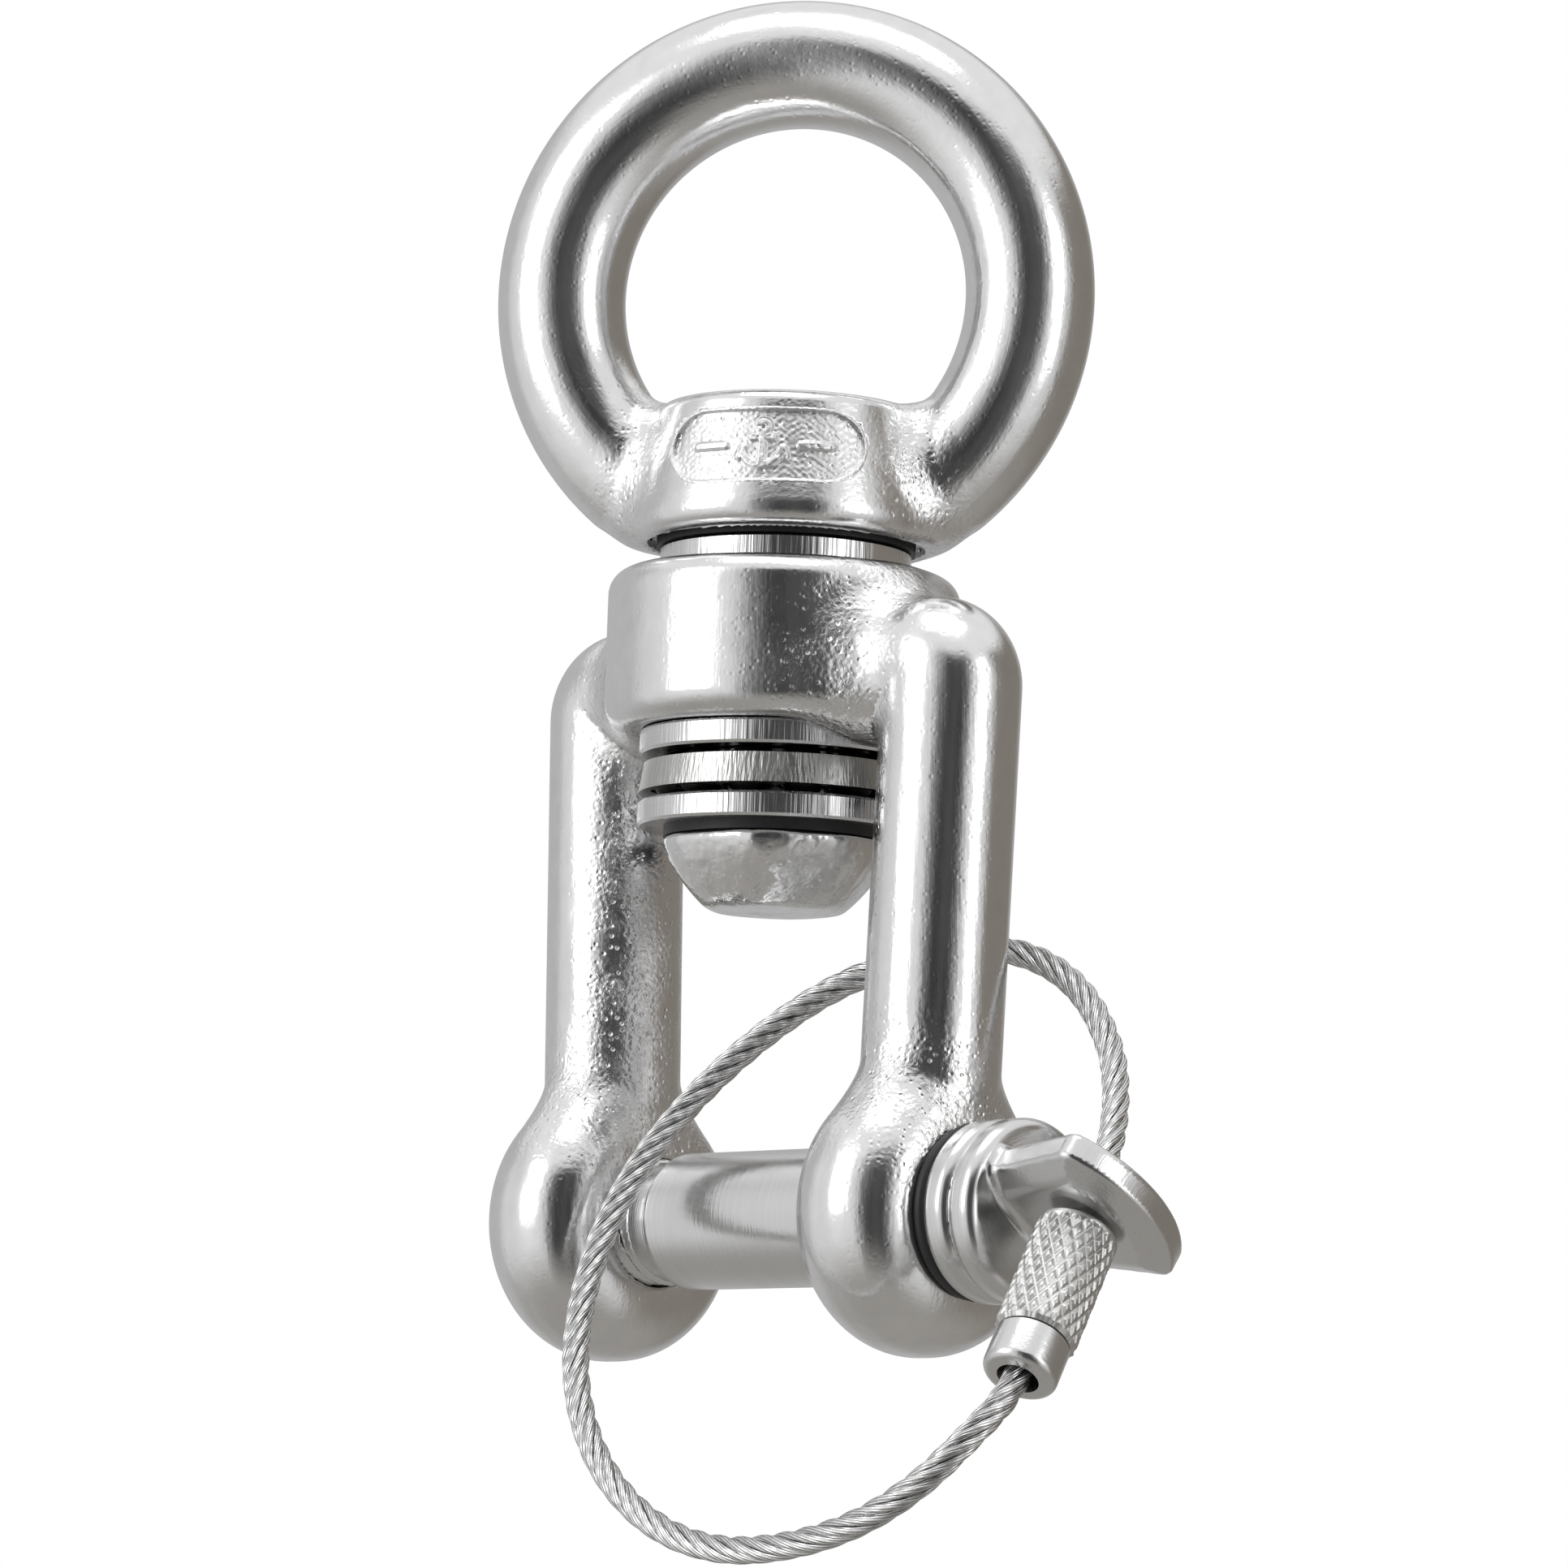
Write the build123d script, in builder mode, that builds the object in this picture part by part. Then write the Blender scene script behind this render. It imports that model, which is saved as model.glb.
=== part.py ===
from build123d import *
import os
from math import cos, pi, radians, sin, tan

# Anchor swivel, in millimetres. The origin is the centre of the eye, +Z runs up the swivel axis,
# and the clevis pin lies along X with its head on the +X side. The eye is turned about Z from
# the fork, as a swivel comes to rest.

# Eye: a round ring that grows out of a flared collar
RING_R = 22.3
RING_WIRE_R = 6.0
EYE_TURN = 35.5
COLLAR_TOP_Z = -10.7
COLLAR_BASE_Z = -24.3
COLLAR_TOP_R = 12.4
COLLAR_BASE_R = 15.4
COLLAR_TOP_ROUND = 0.9
COLLAR_BASE_ROUND = 2.4

# Badge pocket on the collar: a shallow rounded slot that follows the collar's cone
BADGE_LENGTH = 18.0
BADGE_HEIGHT = 6.8
BADGE_Z = -16.2
BADGE_DEPTH = 0.45

# Swivel bolt: peened over at the top of the collar, with a domed hexagon head at the bottom
BOLT_R = 6.0
PEEN_R = 5.4
PEEN_TOP_Z = -8.8
HEAD_R = 11.0
HEAD_SHOULDER_R = 9.9
HEAD_WIDEST_Z = -53.4
HEAD_BOTTOM_Z = -57.9
HEAD_BOTTOM_R = 6.3
HEAD_DOME_POINT = (9.5, -56.1)
HEAD_SHOULDER_POINT = (10.7, -52.1)
HEAD_FACET_BOTTOM = 7.6
HEAD_FACET_SLOPE = 33.0
RUNNING_GAP = 0.05

# Seal under the collar, spacer ring on the fork and plain bush in the fork's boss
SEAL_R = 12.1
SEAL_DEPTH = 1.5
SPACER_R = 11.7
SPACER_GAP = 0.15
BUSH_R = 8.0

# Fork: a boss, two round arms with elbows, and two rounded ears
BOSS_R = 16.4
BOSS_TOP_Z = -26.3
BOSS_BASE_Z = -41.3
BOSS_ROUND = 2.4
ARM_R = 6.4
ELBOW_BEND_R = 2.1
ELBOW_TOP_Z = -30.0
ARM_TOP_X = 22.4
ARM_LEAN = 1.9
EAR_X = 20.7
EAR_R = 12.9
EAR_HALF_WIDTH = 7.0
EAR_ROUND = 6.1
CHEEK_X = 6.6
CHEEK_R = 8.7
PIN_Z = -86.3

# Thrust bearing, 12 x 26 x 9: two grooved washers, a cage and its balls
BEARING_R = 13.0
WASHER_GAP = 0.4
WASHER_CHAMFER = 0.25
BEARING_TOP_Z = BOSS_BASE_Z
BEARING_HEIGHT = 9.0
WASHER_THICKNESS = 2.3
BALL_R = 2.38
BALL_CIRCLE_R = 9.6
BALL_COUNT = 12
BALL_GAP = 0.07
CAGE_HEIGHT = 2.8
CAGE_TOP_R = 12.5
CAGE_BASE_R = 12.95
CAGE_BORE_R = 6.6
HEAD_WASHER_R = 10.5
HEAD_WASHER_THICKNESS = 0.9

# Clevis pin: shank, thread relief and thread at -X; two head rings and a flared tab at +X
PIN_R = 6.35
PIN_SHOULDER_X = -9.8
RELIEF_R = 5.5
RELIEF_END_X = -11.8
THREAD_R = 5.95
THREAD_PITCH = 1.75
THREAD_DEPTH = 0.75
THREAD_TURNS = 9
PIN_TIP_X = -28.4
O_RING_THICKNESS = 1.2
O_RING_R = 8.0
O_RING_WIRE_R = 0.6
HEAD_RING_R = 8.3
HEAD_RING_WIDTH = 3.2
HEAD_NECK_R = 7.0
HEAD_RING_ROUND = 1.2
HEAD_GROOVE = 0.4
SHOULDER_ROUND = 0.6
TAB_TURN = 35.0
TAB_LENGTH = 14.0
TAB_ROOT_AT = -0.8
TAB_ROOT_HALF = 6.4
TAB_WIDE_HALF = 8.7
TAB_WIDE_AT = 10.3
TAB_SIDE_R = 30.0
TAB_THICKNESS = 3.8
TAB_HOLE_AT = 6.4
TAB_HOLE_R = 2.0

# Lanyard: a knurled barrel and a ferrule that screw together, on a closed loop of wire rope
LANYARD_AIM = (0.14, -0.57, -0.81)
BARREL_GAP = 0.7
BARREL_R = 3.75
BARREL_LENGTH = 12.2
BARREL_WALL = 1.8
BARREL_MOUTH_R = 1.6
BARREL_BORE_R = 2.6
BARREL_CHAMFER = 0.4
STUD_R = 2.55
STUD_LENGTH = 4.5
FERRULE_R = 3.4
FERRULE_LENGTH = 4.2
FERRULE_GAP = 0.1
FERRULE_ROUND = 0.8
FERRULE_HOLE_DEPTH = 3.0
STOP_R = 2.3
STOP_LENGTH = 3.0
STOP_GRIP = 2.2
STOP_GAP = 0.2
CABLE_R = 1.25
CABLE_HOLE_GAP = 0.03
CABLE_START = BARREL_LENGTH + FERRULE_GAP + FERRULE_LENGTH - FERRULE_HOLE_DEPTH
CABLE_EXIT_RUN = 4.5
CABLE_ENTRY_RUN = 7.2
RUN_SHARE = 0.45

os.makedirs("parts", exist_ok=True)


# Places that several pieces share
EYE_NORMAL = Vector(sin(radians(EYE_TURN)), -cos(radians(EYE_TURN)), 0)
EYE_ACROSS = Vector(cos(radians(EYE_TURN)), sin(radians(EYE_TURN)), 0)
RECESS_Z = COLLAR_BASE_Z + SEAL_DEPTH
SPACER_TOP_Z = COLLAR_BASE_Z + SPACER_GAP
BALL_Z = BEARING_TOP_Z - BEARING_HEIGHT / 2
LOWER_WASHER_TOP_Z = BEARING_TOP_Z - BEARING_HEIGHT + WASHER_THICKNESS
HEAD_WASHER_TOP_Z = BEARING_TOP_Z - BEARING_HEIGHT
HEAD_TOP_Z = HEAD_WASHER_TOP_Z - HEAD_WASHER_THICKNESS
ARM_BEND_X = ARM_TOP_X - ELBOW_BEND_R
ARM_BEND_Z = ELBOW_TOP_Z - ELBOW_BEND_R - ARM_R
PIN_AXIS = Axis((0, 0, PIN_Z), (1, 0, 0))
HEAD_START_X = EAR_X + CHEEK_X
FLANGE_START_X = HEAD_START_X + O_RING_THICKNESS
FLANGE_FACE_X = FLANGE_START_X + 2 * HEAD_RING_WIDTH
TAB_NORMAL = Vector(0, -sin(radians(TAB_TURN)), -cos(radians(TAB_TURN)))
TAB_PLANE = Plane(origin=(FLANGE_FACE_X, 0, PIN_Z), x_dir=(1, 0, 0), z_dir=TAB_NORMAL)
TAB_HOLE = Vector(FLANGE_FACE_X + TAB_HOLE_AT, 0, PIN_Z)
LANYARD_DIRECTION = Vector(*LANYARD_AIM).normalized()
BARREL_TOP = TAB_HOLE + LANYARD_DIRECTION * (TAB_THICKNESS / 2 + BARREL_GAP)


def save(piece, name):
    """Label one finished sub-part and write its STEP file."""
    piece.part.label = name
    export_step(piece.part, f"parts/{name}.step")


def along_lanyard(distance):
    """The point this far along the lanyard's axis from the top of its barrel."""
    return BARREL_TOP + LANYARD_DIRECTION * distance


def lanyard_plane(distance):
    """The plane across the lanyard's axis at that point."""
    return Plane(origin=along_lanyard(distance), z_dir=LANYARD_DIRECTION)


def rims(piece, radius):
    """The round edges of a sub-part that have this radius."""
    circles = piece.edges().filter_by(GeomType.CIRCLE)
    return circles.filter_by(lambda circle: abs(circle.radius - radius) < RUNNING_GAP / 2)


def pin_plane(x):
    """The plane across the clevis pin at x."""
    return Plane(origin=(x, 0, PIN_Z), x_dir=(0, 1, 0), z_dir=(1, 0, 0))


# Badge pocket: the skin of the collar's cone inside a rounded slot
with BuildPart() as badge_pocket:
    with BuildSketch(Plane.XZ):
        with BuildLine():
            Polyline(
                (COLLAR_TOP_R - BADGE_DEPTH, COLLAR_TOP_Z),
                (COLLAR_TOP_R + BADGE_DEPTH, COLLAR_TOP_Z),
                (COLLAR_BASE_R + BADGE_DEPTH, COLLAR_BASE_Z),
                (COLLAR_BASE_R - BADGE_DEPTH, COLLAR_BASE_Z),
                close=True,
            )
        make_face()
    revolve(axis=Axis.Z)
    badge_plane = Plane(origin=(0, 0, BADGE_Z), x_dir=EYE_ACROSS, z_dir=EYE_NORMAL)
    with BuildSketch(badge_plane):
        SlotOverall(BADGE_LENGTH, BADGE_HEIGHT)
    extrude(amount=2 * COLLAR_BASE_R, mode=Mode.INTERSECT)


# Eye forging: the ring and its flared collar, bored for the bolt and recessed for the seal
with BuildPart() as eye_forging:
    with BuildSketch(Plane.XZ):
        with BuildLine():
            Polyline(
                (0, COLLAR_TOP_Z),
                (COLLAR_TOP_R, COLLAR_TOP_Z),
                (COLLAR_BASE_R, COLLAR_BASE_Z),
                (0, COLLAR_BASE_Z),
                close=True,
            )
        make_face()
    revolve(axis=Axis.Z)
    fillet(edges().filter_by(GeomType.CIRCLE).sort_by(Axis.Z)[0], radius=COLLAR_BASE_ROUND)
    fillet(edges().filter_by(GeomType.CIRCLE).sort_by(Axis.Z)[-1], radius=COLLAR_TOP_ROUND)
    with Locations(Plane(origin=(0, 0, 0), x_dir=(0, 0, 1), z_dir=EYE_NORMAL)):
        Torus(RING_R, RING_WIRE_R)
    with BuildSketch(Plane.XY.offset(COLLAR_BASE_Z)):
        Circle(RING_R)
    extrude(amount=-2 * RING_WIRE_R, mode=Mode.SUBTRACT)
    with BuildSketch(Plane.XY.offset(COLLAR_BASE_Z)):
        Circle(BOLT_R)
    extrude(amount=COLLAR_TOP_Z - COLLAR_BASE_Z, mode=Mode.SUBTRACT)
    with BuildSketch(Plane.XY.offset(COLLAR_BASE_Z)):
        Circle(SEAL_R)
    extrude(amount=SEAL_DEPTH, mode=Mode.SUBTRACT)
    add(badge_pocket.part, mode=Mode.SUBTRACT)
save(eye_forging, "eye_forging")


# Swivel bolt: a domed head with six tapered facets, a plain shank and a peened top
with BuildPart() as swivel_bolt:
    with BuildSketch(Plane.XZ):
        with BuildLine():
            Line((0, HEAD_BOTTOM_Z), (HEAD_BOTTOM_R, HEAD_BOTTOM_Z))
            ThreePointArc((HEAD_BOTTOM_R, HEAD_BOTTOM_Z), HEAD_DOME_POINT, (HEAD_R, HEAD_WIDEST_Z))
            ThreePointArc(
                (HEAD_R, HEAD_WIDEST_Z), HEAD_SHOULDER_POINT, (HEAD_SHOULDER_R, HEAD_TOP_Z)
            )
            Polyline((HEAD_SHOULDER_R, HEAD_TOP_Z), (0, HEAD_TOP_Z), (0, HEAD_BOTTOM_Z))
        make_face()
    revolve(axis=Axis.Z)
    with BuildSketch(Plane.XY.offset(HEAD_BOTTOM_Z)):
        RegularPolygon(HEAD_FACET_BOTTOM, 6, major_radius=False, rotation=EYE_TURN)
    extrude(amount=HEAD_TOP_Z - HEAD_BOTTOM_Z, taper=-HEAD_FACET_SLOPE, mode=Mode.INTERSECT)
    with BuildSketch(Plane.XY.offset(HEAD_TOP_Z)):
        Circle(BOLT_R)
    extrude(amount=COLLAR_TOP_Z - HEAD_TOP_Z)
    with BuildSketch(Plane.XZ):
        with BuildLine():
            Line((0, COLLAR_TOP_Z), (PEEN_R, COLLAR_TOP_Z))
            TangentArc((0, PEEN_TOP_Z), (PEEN_R, COLLAR_TOP_Z), tangent=(1, 0))
            Line((0, PEEN_TOP_Z), (0, COLLAR_TOP_Z))
        make_face()
    revolve(axis=Axis.Z)
save(swivel_bolt, "swivel_bolt")


# Collar seal: sits in the recess of the collar's underside, just clear of the spacer ring
with BuildPart() as collar_seal:
    with BuildSketch(Plane.XY.offset(RECESS_Z)):
        Circle(SEAL_R)
        Circle(BOLT_R, mode=Mode.SUBTRACT)
    extrude(amount=SPACER_TOP_Z + SPACER_GAP - RECESS_Z)
save(collar_seal, "collar_seal")


# Spacer ring: the turned washer between the collar and the fork's boss
with BuildPart() as spacer_ring:
    with BuildSketch(Plane.XY.offset(BOSS_TOP_Z)):
        Circle(SPACER_R)
        Circle(BOLT_R + SPACER_GAP, mode=Mode.SUBTRACT)
    extrude(amount=SPACER_TOP_Z - BOSS_TOP_Z)
    chamfer(rims(spacer_ring, SPACER_R).sort_by(Axis.Z)[-1], length=SPACER_GAP)
save(spacer_ring, "spacer_ring")


# Boss bush: the plain sleeve that the bolt turns in
with BuildPart() as boss_bush:
    with BuildSketch(Plane.XY.offset(BOSS_BASE_Z)):
        Circle(BUSH_R)
        Circle(BOLT_R + RUNNING_GAP, mode=Mode.SUBTRACT)
    extrude(amount=BOSS_TOP_Z - BOSS_BASE_Z)
save(boss_bush, "boss_bush")


# Fork body: boss, elbows, arms and ears in one forging
with BuildPart() as fork_body:
    with BuildSketch(Plane.XY.offset(BOSS_BASE_Z)):
        Circle(BOSS_R)
    extrude(amount=BOSS_TOP_Z - BOSS_BASE_Z)
    fillet(fork_body.edges().filter_by(GeomType.CIRCLE), radius=BOSS_ROUND)
    with BuildSketch(Plane(origin=(0, 0, ARM_BEND_Z + ELBOW_BEND_R), z_dir=(1, 0, 0))):
        Circle(ARM_R)
    extrude(amount=ARM_BEND_X, both=True)
    for side in (-1, 1):
        bend = Vector(side * ARM_BEND_X, 0, ARM_BEND_Z)
        with BuildSketch(Plane(origin=bend, x_dir=(0, 1, 0), z_dir=(1, 0, 0))):
            with Locations((0, ELBOW_BEND_R)):
                Circle(ARM_R)
            Rectangle(
                2 * ARM_R,
                2 * ARM_R + ELBOW_BEND_R,
                align=(Align.CENTER, Align.MIN),
                mode=Mode.INTERSECT,
            )
        revolve(axis=Axis(bend, (0, side, 0)), revolution_arc=90 + ARM_LEAN)
        outward = Vector(side * cos(radians(ARM_LEAN)), 0, -sin(radians(ARM_LEAN)))
        downward = Vector(-side * sin(radians(ARM_LEAN)), 0, -cos(radians(ARM_LEAN)))
        with BuildSketch(Plane(origin=bend + outward * ELBOW_BEND_R, z_dir=downward)):
            Circle(ARM_R)
        extrude(amount=ARM_BEND_Z - PIN_Z)
        with BuildSketch(Plane(origin=(side * EAR_X, 0, PIN_Z), x_dir=(1, 0, 0), z_dir=(0, -1, 0))):
            outline = Rectangle(2 * EAR_HALF_WIDTH, EAR_R, align=(Align.CENTER, Align.MIN))
            fillet(outline.vertices().group_by(Axis.Y)[-1], radius=EAR_ROUND)
        revolve(axis=PIN_AXIS)
    # room for the bearing, the faced cheeks, and the bores
    with BuildSketch(Plane.XY.offset(BOSS_BASE_Z)):
        Circle(BEARING_R + WASHER_GAP)
    extrude(amount=-BEARING_HEIGHT, mode=Mode.SUBTRACT)
    with BuildSketch(Plane.XY.offset(BOSS_BASE_Z)):
        Circle(BUSH_R)
    extrude(amount=BOSS_TOP_Z - BOSS_BASE_Z, mode=Mode.SUBTRACT)
    with BuildSketch(pin_plane(0)):
        Circle(CHEEK_R)
    extrude(amount=EAR_X - CHEEK_X, both=True, mode=Mode.SUBTRACT)
    with BuildSketch(pin_plane(EAR_X + CHEEK_X)):
        Circle(CHEEK_R)
    extrude(amount=EAR_R, mode=Mode.SUBTRACT)
    with BuildSketch(pin_plane(-EAR_X - CHEEK_X)):
        Circle(CHEEK_R)
    extrude(amount=-EAR_R, mode=Mode.SUBTRACT)
    with BuildSketch(pin_plane(0)):
        Circle(PIN_R + RUNNING_GAP)
    extrude(amount=EAR_X + EAR_R, mode=Mode.SUBTRACT)
    with BuildSketch(pin_plane(0)):
        Circle(THREAD_R + RUNNING_GAP)
    extrude(amount=-EAR_X - EAR_R, mode=Mode.SUBTRACT)
save(fork_body, "fork_body")


# Bearing washers: the upper one turns with the fork, the lower one with the bolt
with BuildPart() as bearing_upper_washer:
    with BuildSketch(Plane.XY.offset(BEARING_TOP_Z)):
        Circle(BEARING_R)
        Circle(BOLT_R + WASHER_GAP, mode=Mode.SUBTRACT)
    extrude(amount=-WASHER_THICKNESS)
    with BuildSketch(Plane.XZ):
        with Locations((BALL_CIRCLE_R, BALL_Z)):
            Circle(BALL_R + BALL_GAP)
    revolve(axis=Axis.Z, mode=Mode.SUBTRACT)
    chamfer(rims(bearing_upper_washer, BEARING_R), length=WASHER_CHAMFER)
save(bearing_upper_washer, "bearing_upper_washer")

with BuildPart() as bearing_lower_washer:
    with BuildSketch(Plane.XY.offset(LOWER_WASHER_TOP_Z)):
        Circle(BEARING_R)
        Circle(BOLT_R, mode=Mode.SUBTRACT)
    extrude(amount=-WASHER_THICKNESS)
    with BuildSketch(Plane.XZ):
        with Locations((BALL_CIRCLE_R, BALL_Z)):
            Circle(BALL_R + BALL_GAP)
    revolve(axis=Axis.Z, mode=Mode.SUBTRACT)
    chamfer(rims(bearing_lower_washer, BEARING_R), length=WASHER_CHAMFER)
save(bearing_lower_washer, "bearing_lower_washer")


# Bearing cage: a ring with a slightly coned rim and one round pocket for each ball
with BuildPart() as bearing_cage:
    with BuildSketch(Plane.XZ):
        with BuildLine():
            Polyline(
                (CAGE_BORE_R, BALL_Z + CAGE_HEIGHT / 2),
                (CAGE_TOP_R, BALL_Z + CAGE_HEIGHT / 2),
                (CAGE_BASE_R, BALL_Z - CAGE_HEIGHT / 2),
                (CAGE_BORE_R, BALL_Z - CAGE_HEIGHT / 2),
                close=True,
            )
        make_face()
    revolve(axis=Axis.Z)
    with BuildSketch(Plane.XY.offset(BALL_Z)):
        with PolarLocations(BALL_CIRCLE_R, BALL_COUNT):
            Circle(BALL_R + BALL_GAP)
    extrude(amount=CAGE_HEIGHT, both=True, mode=Mode.SUBTRACT)
save(bearing_cage, "bearing_cage")


# Bearing balls: one group of separate solids
with BuildPart() as bearing_balls:
    with Locations((0, 0, BALL_Z)):
        with PolarLocations(BALL_CIRCLE_R, BALL_COUNT):
            Sphere(BALL_R)
save(bearing_balls, "bearing_balls")


# Head washer: the dark washer between the lower bearing washer and the bolt's head
with BuildPart() as head_washer:
    with BuildSketch(Plane.XY.offset(HEAD_TOP_Z)):
        Circle(HEAD_WASHER_R)
        Circle(BOLT_R, mode=Mode.SUBTRACT)
    extrude(amount=HEAD_WASHER_THICKNESS)
save(head_washer, "head_washer")


# Clevis pin: thread, relief, shank, neck and two head rings, then the flared tab
pin_steps = [
    (PIN_TIP_X, RELIEF_END_X, THREAD_R),
    (RELIEF_END_X, PIN_SHOULDER_X, RELIEF_R),
    (PIN_SHOULDER_X, FLANGE_START_X, PIN_R),
    (FLANGE_START_X, FLANGE_FACE_X, HEAD_NECK_R),
    (FLANGE_START_X, FLANGE_START_X + HEAD_RING_WIDTH - HEAD_GROOVE, HEAD_RING_R),
    (FLANGE_START_X + HEAD_RING_WIDTH, FLANGE_FACE_X, HEAD_RING_R),
]
with BuildPart() as clevis_pin:
    for start_x, end_x, radius in pin_steps:
        with BuildSketch(pin_plane(start_x)):
            Circle(radius)
        extrude(amount=end_x - start_x)
    fillet(rims(clevis_pin, HEAD_RING_R), radius=HEAD_RING_ROUND)
    fillet(rims(clevis_pin, PIN_R).sort_by(Axis.X)[0], radius=SHOULDER_ROUND)
    chamfer(clevis_pin.edges().filter_by(GeomType.CIRCLE).sort_by(Axis.X)[0], length=THREAD_DEPTH)
    for turn in range(THREAD_TURNS):
        groove_x = RELIEF_END_X - THREAD_PITCH * (turn + 0.5)
        with BuildSketch(Plane(origin=(groove_x, 0, PIN_Z), x_dir=(1, 0, 0), z_dir=(0, -1, 0))):
            with BuildLine():
                Polyline(
                    (-THREAD_PITCH / 2, THREAD_R + RUNNING_GAP),
                    (0, THREAD_R - THREAD_DEPTH),
                    (THREAD_PITCH / 2, THREAD_R + RUNNING_GAP),
                    close=True,
                )
            make_face()
        revolve(axis=PIN_AXIS, mode=Mode.SUBTRACT)
    with BuildSketch(TAB_PLANE):
        with BuildLine():
            RadiusArc((TAB_ROOT_AT, TAB_ROOT_HALF), (TAB_WIDE_AT, TAB_WIDE_HALF), -TAB_SIDE_R)
            ThreePointArc((TAB_WIDE_AT, TAB_WIDE_HALF), (TAB_LENGTH, 0), (TAB_WIDE_AT, -TAB_WIDE_HALF))
            RadiusArc((TAB_WIDE_AT, -TAB_WIDE_HALF), (TAB_ROOT_AT, -TAB_ROOT_HALF), -TAB_SIDE_R)
            Line((TAB_ROOT_AT, -TAB_ROOT_HALF), (TAB_ROOT_AT, TAB_ROOT_HALF))
        make_face()
    extrude(amount=TAB_THICKNESS / 2, both=True)
    with BuildSketch(TAB_PLANE):
        with Locations((TAB_HOLE_AT, 0)):
            Circle(TAB_HOLE_R)
    extrude(amount=TAB_THICKNESS, both=True, mode=Mode.SUBTRACT)
save(clevis_pin, "clevis_pin")


# Pin O-ring: the dark ring between the ear's faced cheek and the pin's head
with BuildPart() as pin_o_ring:
    with BuildSketch(Plane(origin=(0, 0, PIN_Z), x_dir=(1, 0, 0), z_dir=(0, -1, 0))):
        with Locations((HEAD_START_X + O_RING_THICKNESS / 2, O_RING_R - O_RING_WIRE_R)):
            Circle(O_RING_WIRE_R)
    revolve(axis=PIN_AXIS)
save(pin_o_ring, "pin_o_ring")


# Lanyard barrel: turned and knurled, with a small mouth for the cable and a long threaded bore
with BuildPart() as lanyard_barrel:
    with BuildSketch(lanyard_plane(0)):
        Circle(BARREL_R)
        Circle(BARREL_MOUTH_R, mode=Mode.SUBTRACT)
    extrude(amount=BARREL_LENGTH)
    with BuildSketch(lanyard_plane(BARREL_WALL)):
        Circle(BARREL_BORE_R)
    extrude(amount=BARREL_LENGTH, mode=Mode.SUBTRACT)
    chamfer(rims(lanyard_barrel, BARREL_R), length=BARREL_CHAMFER)
save(lanyard_barrel, "lanyard_barrel")


# Lanyard ferrule: a smooth cap with a threaded stud that screws into the barrel
with BuildPart() as lanyard_ferrule:
    with BuildSketch(lanyard_plane(BARREL_LENGTH + FERRULE_GAP)):
        Circle(FERRULE_R)
    extrude(amount=FERRULE_LENGTH)
    fillet(rims(lanyard_ferrule, FERRULE_R).sort_by(Axis.Z)[0], radius=FERRULE_ROUND)
    with BuildSketch(lanyard_plane(BARREL_LENGTH + FERRULE_GAP)):
        Circle(STUD_R)
    extrude(amount=-STUD_LENGTH)
    with BuildSketch(lanyard_plane(CABLE_START)):
        Circle(CABLE_R + CABLE_HOLE_GAP)
    extrude(amount=FERRULE_LENGTH, mode=Mode.SUBTRACT)
save(lanyard_ferrule, "lanyard_ferrule")


# Cable stop: crimped on the cable's end inside the barrel, so the barrel can turn but not leave
with BuildPart() as cable_stop:
    with BuildSketch(lanyard_plane(BARREL_WALL + STOP_GAP)):
        Circle(STOP_R)
    extrude(amount=STOP_LENGTH)
    with BuildSketch(lanyard_plane(BARREL_WALL + STOP_GAP)):
        Circle(CABLE_R)
    extrude(amount=STOP_GRIP, mode=Mode.SUBTRACT)
save(cable_stop, "cable_stop")


# Lanyard cable: from the ferrule round the +X arm, through the tab and into the barrel
route_points = [
    along_lanyard(CABLE_START),
    along_lanyard(CABLE_START + CABLE_EXIT_RUN),
    (43.1, -15.6, -106.9),
    (39.9, -18.2, -111.2),
    (34.3, -19.8, -114.7),
    (26.7, -20.7, -116.8),
    (17.9, -21.2, -117.4),
    (9.6, -21.5, -115.3),
    (2.6, -21.4, -110.5),
    (-2.7, -20.0, -103.9),
    (-5.7, -17.6, -96.9),
    (-7.3, -13.9, -89.3),
    (-7.0, -9.6, -81.9),
    (-5.1, -4.7, -75.3),
    (-1.2, -0.2, -69.4),
    (4.5, 4.0, -64.4),
    (11.6, 7.9, -61.6),
    (19.6, 10.9, -60.8),
    (27.6, 11.8, -64.1),
    (34.5, 9.9, -70.8),
    (38.4, 6.5, -77.4),
    along_lanyard(-CABLE_ENTRY_RUN),
    along_lanyard(BARREL_WALL + STOP_GAP + STOP_GRIP),
]
route_points = [Vector(*point) for point in route_points]
route_radii = []
for before, here, after in zip(route_points, route_points[1:], route_points[2:]):
    half_turn = radians((here - before).get_angle(after - here)) / 2
    shorter_run = min((here - before).length, (after - here).length)
    route_radii.append(RUN_SHARE * shorter_run / tan(half_turn))
with BuildPart() as lanyard_cable:
    with BuildLine() as cable_route:
        FilletPolyline(*route_points, radius=route_radii)
    with BuildSketch(Plane(origin=cable_route.line @ 0, z_dir=cable_route.line % 0)):
        Circle(CABLE_R)
    sweep(path=cable_route.line)
save(lanyard_cable, "lanyard_cable")

cable_length = cable_route.wires()[0].length
cable_section = pi * CABLE_R**2
print("cable radii", [round(radius, 1) for radius in route_radii])
print("cable runs", [round((b - a).length, 1) for a, b in zip(route_points, route_points[1:])])
print(f"cable length {cable_length:.1f}, section times length {cable_section * cable_length:.1f}")
print(f"cable volume {lanyard_cable.part.volume:.1f}")
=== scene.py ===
from math import atan, cos, pi, radians, sin, tau

import bpy
import numpy as np
from mathutils import Matrix, Vector


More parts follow.
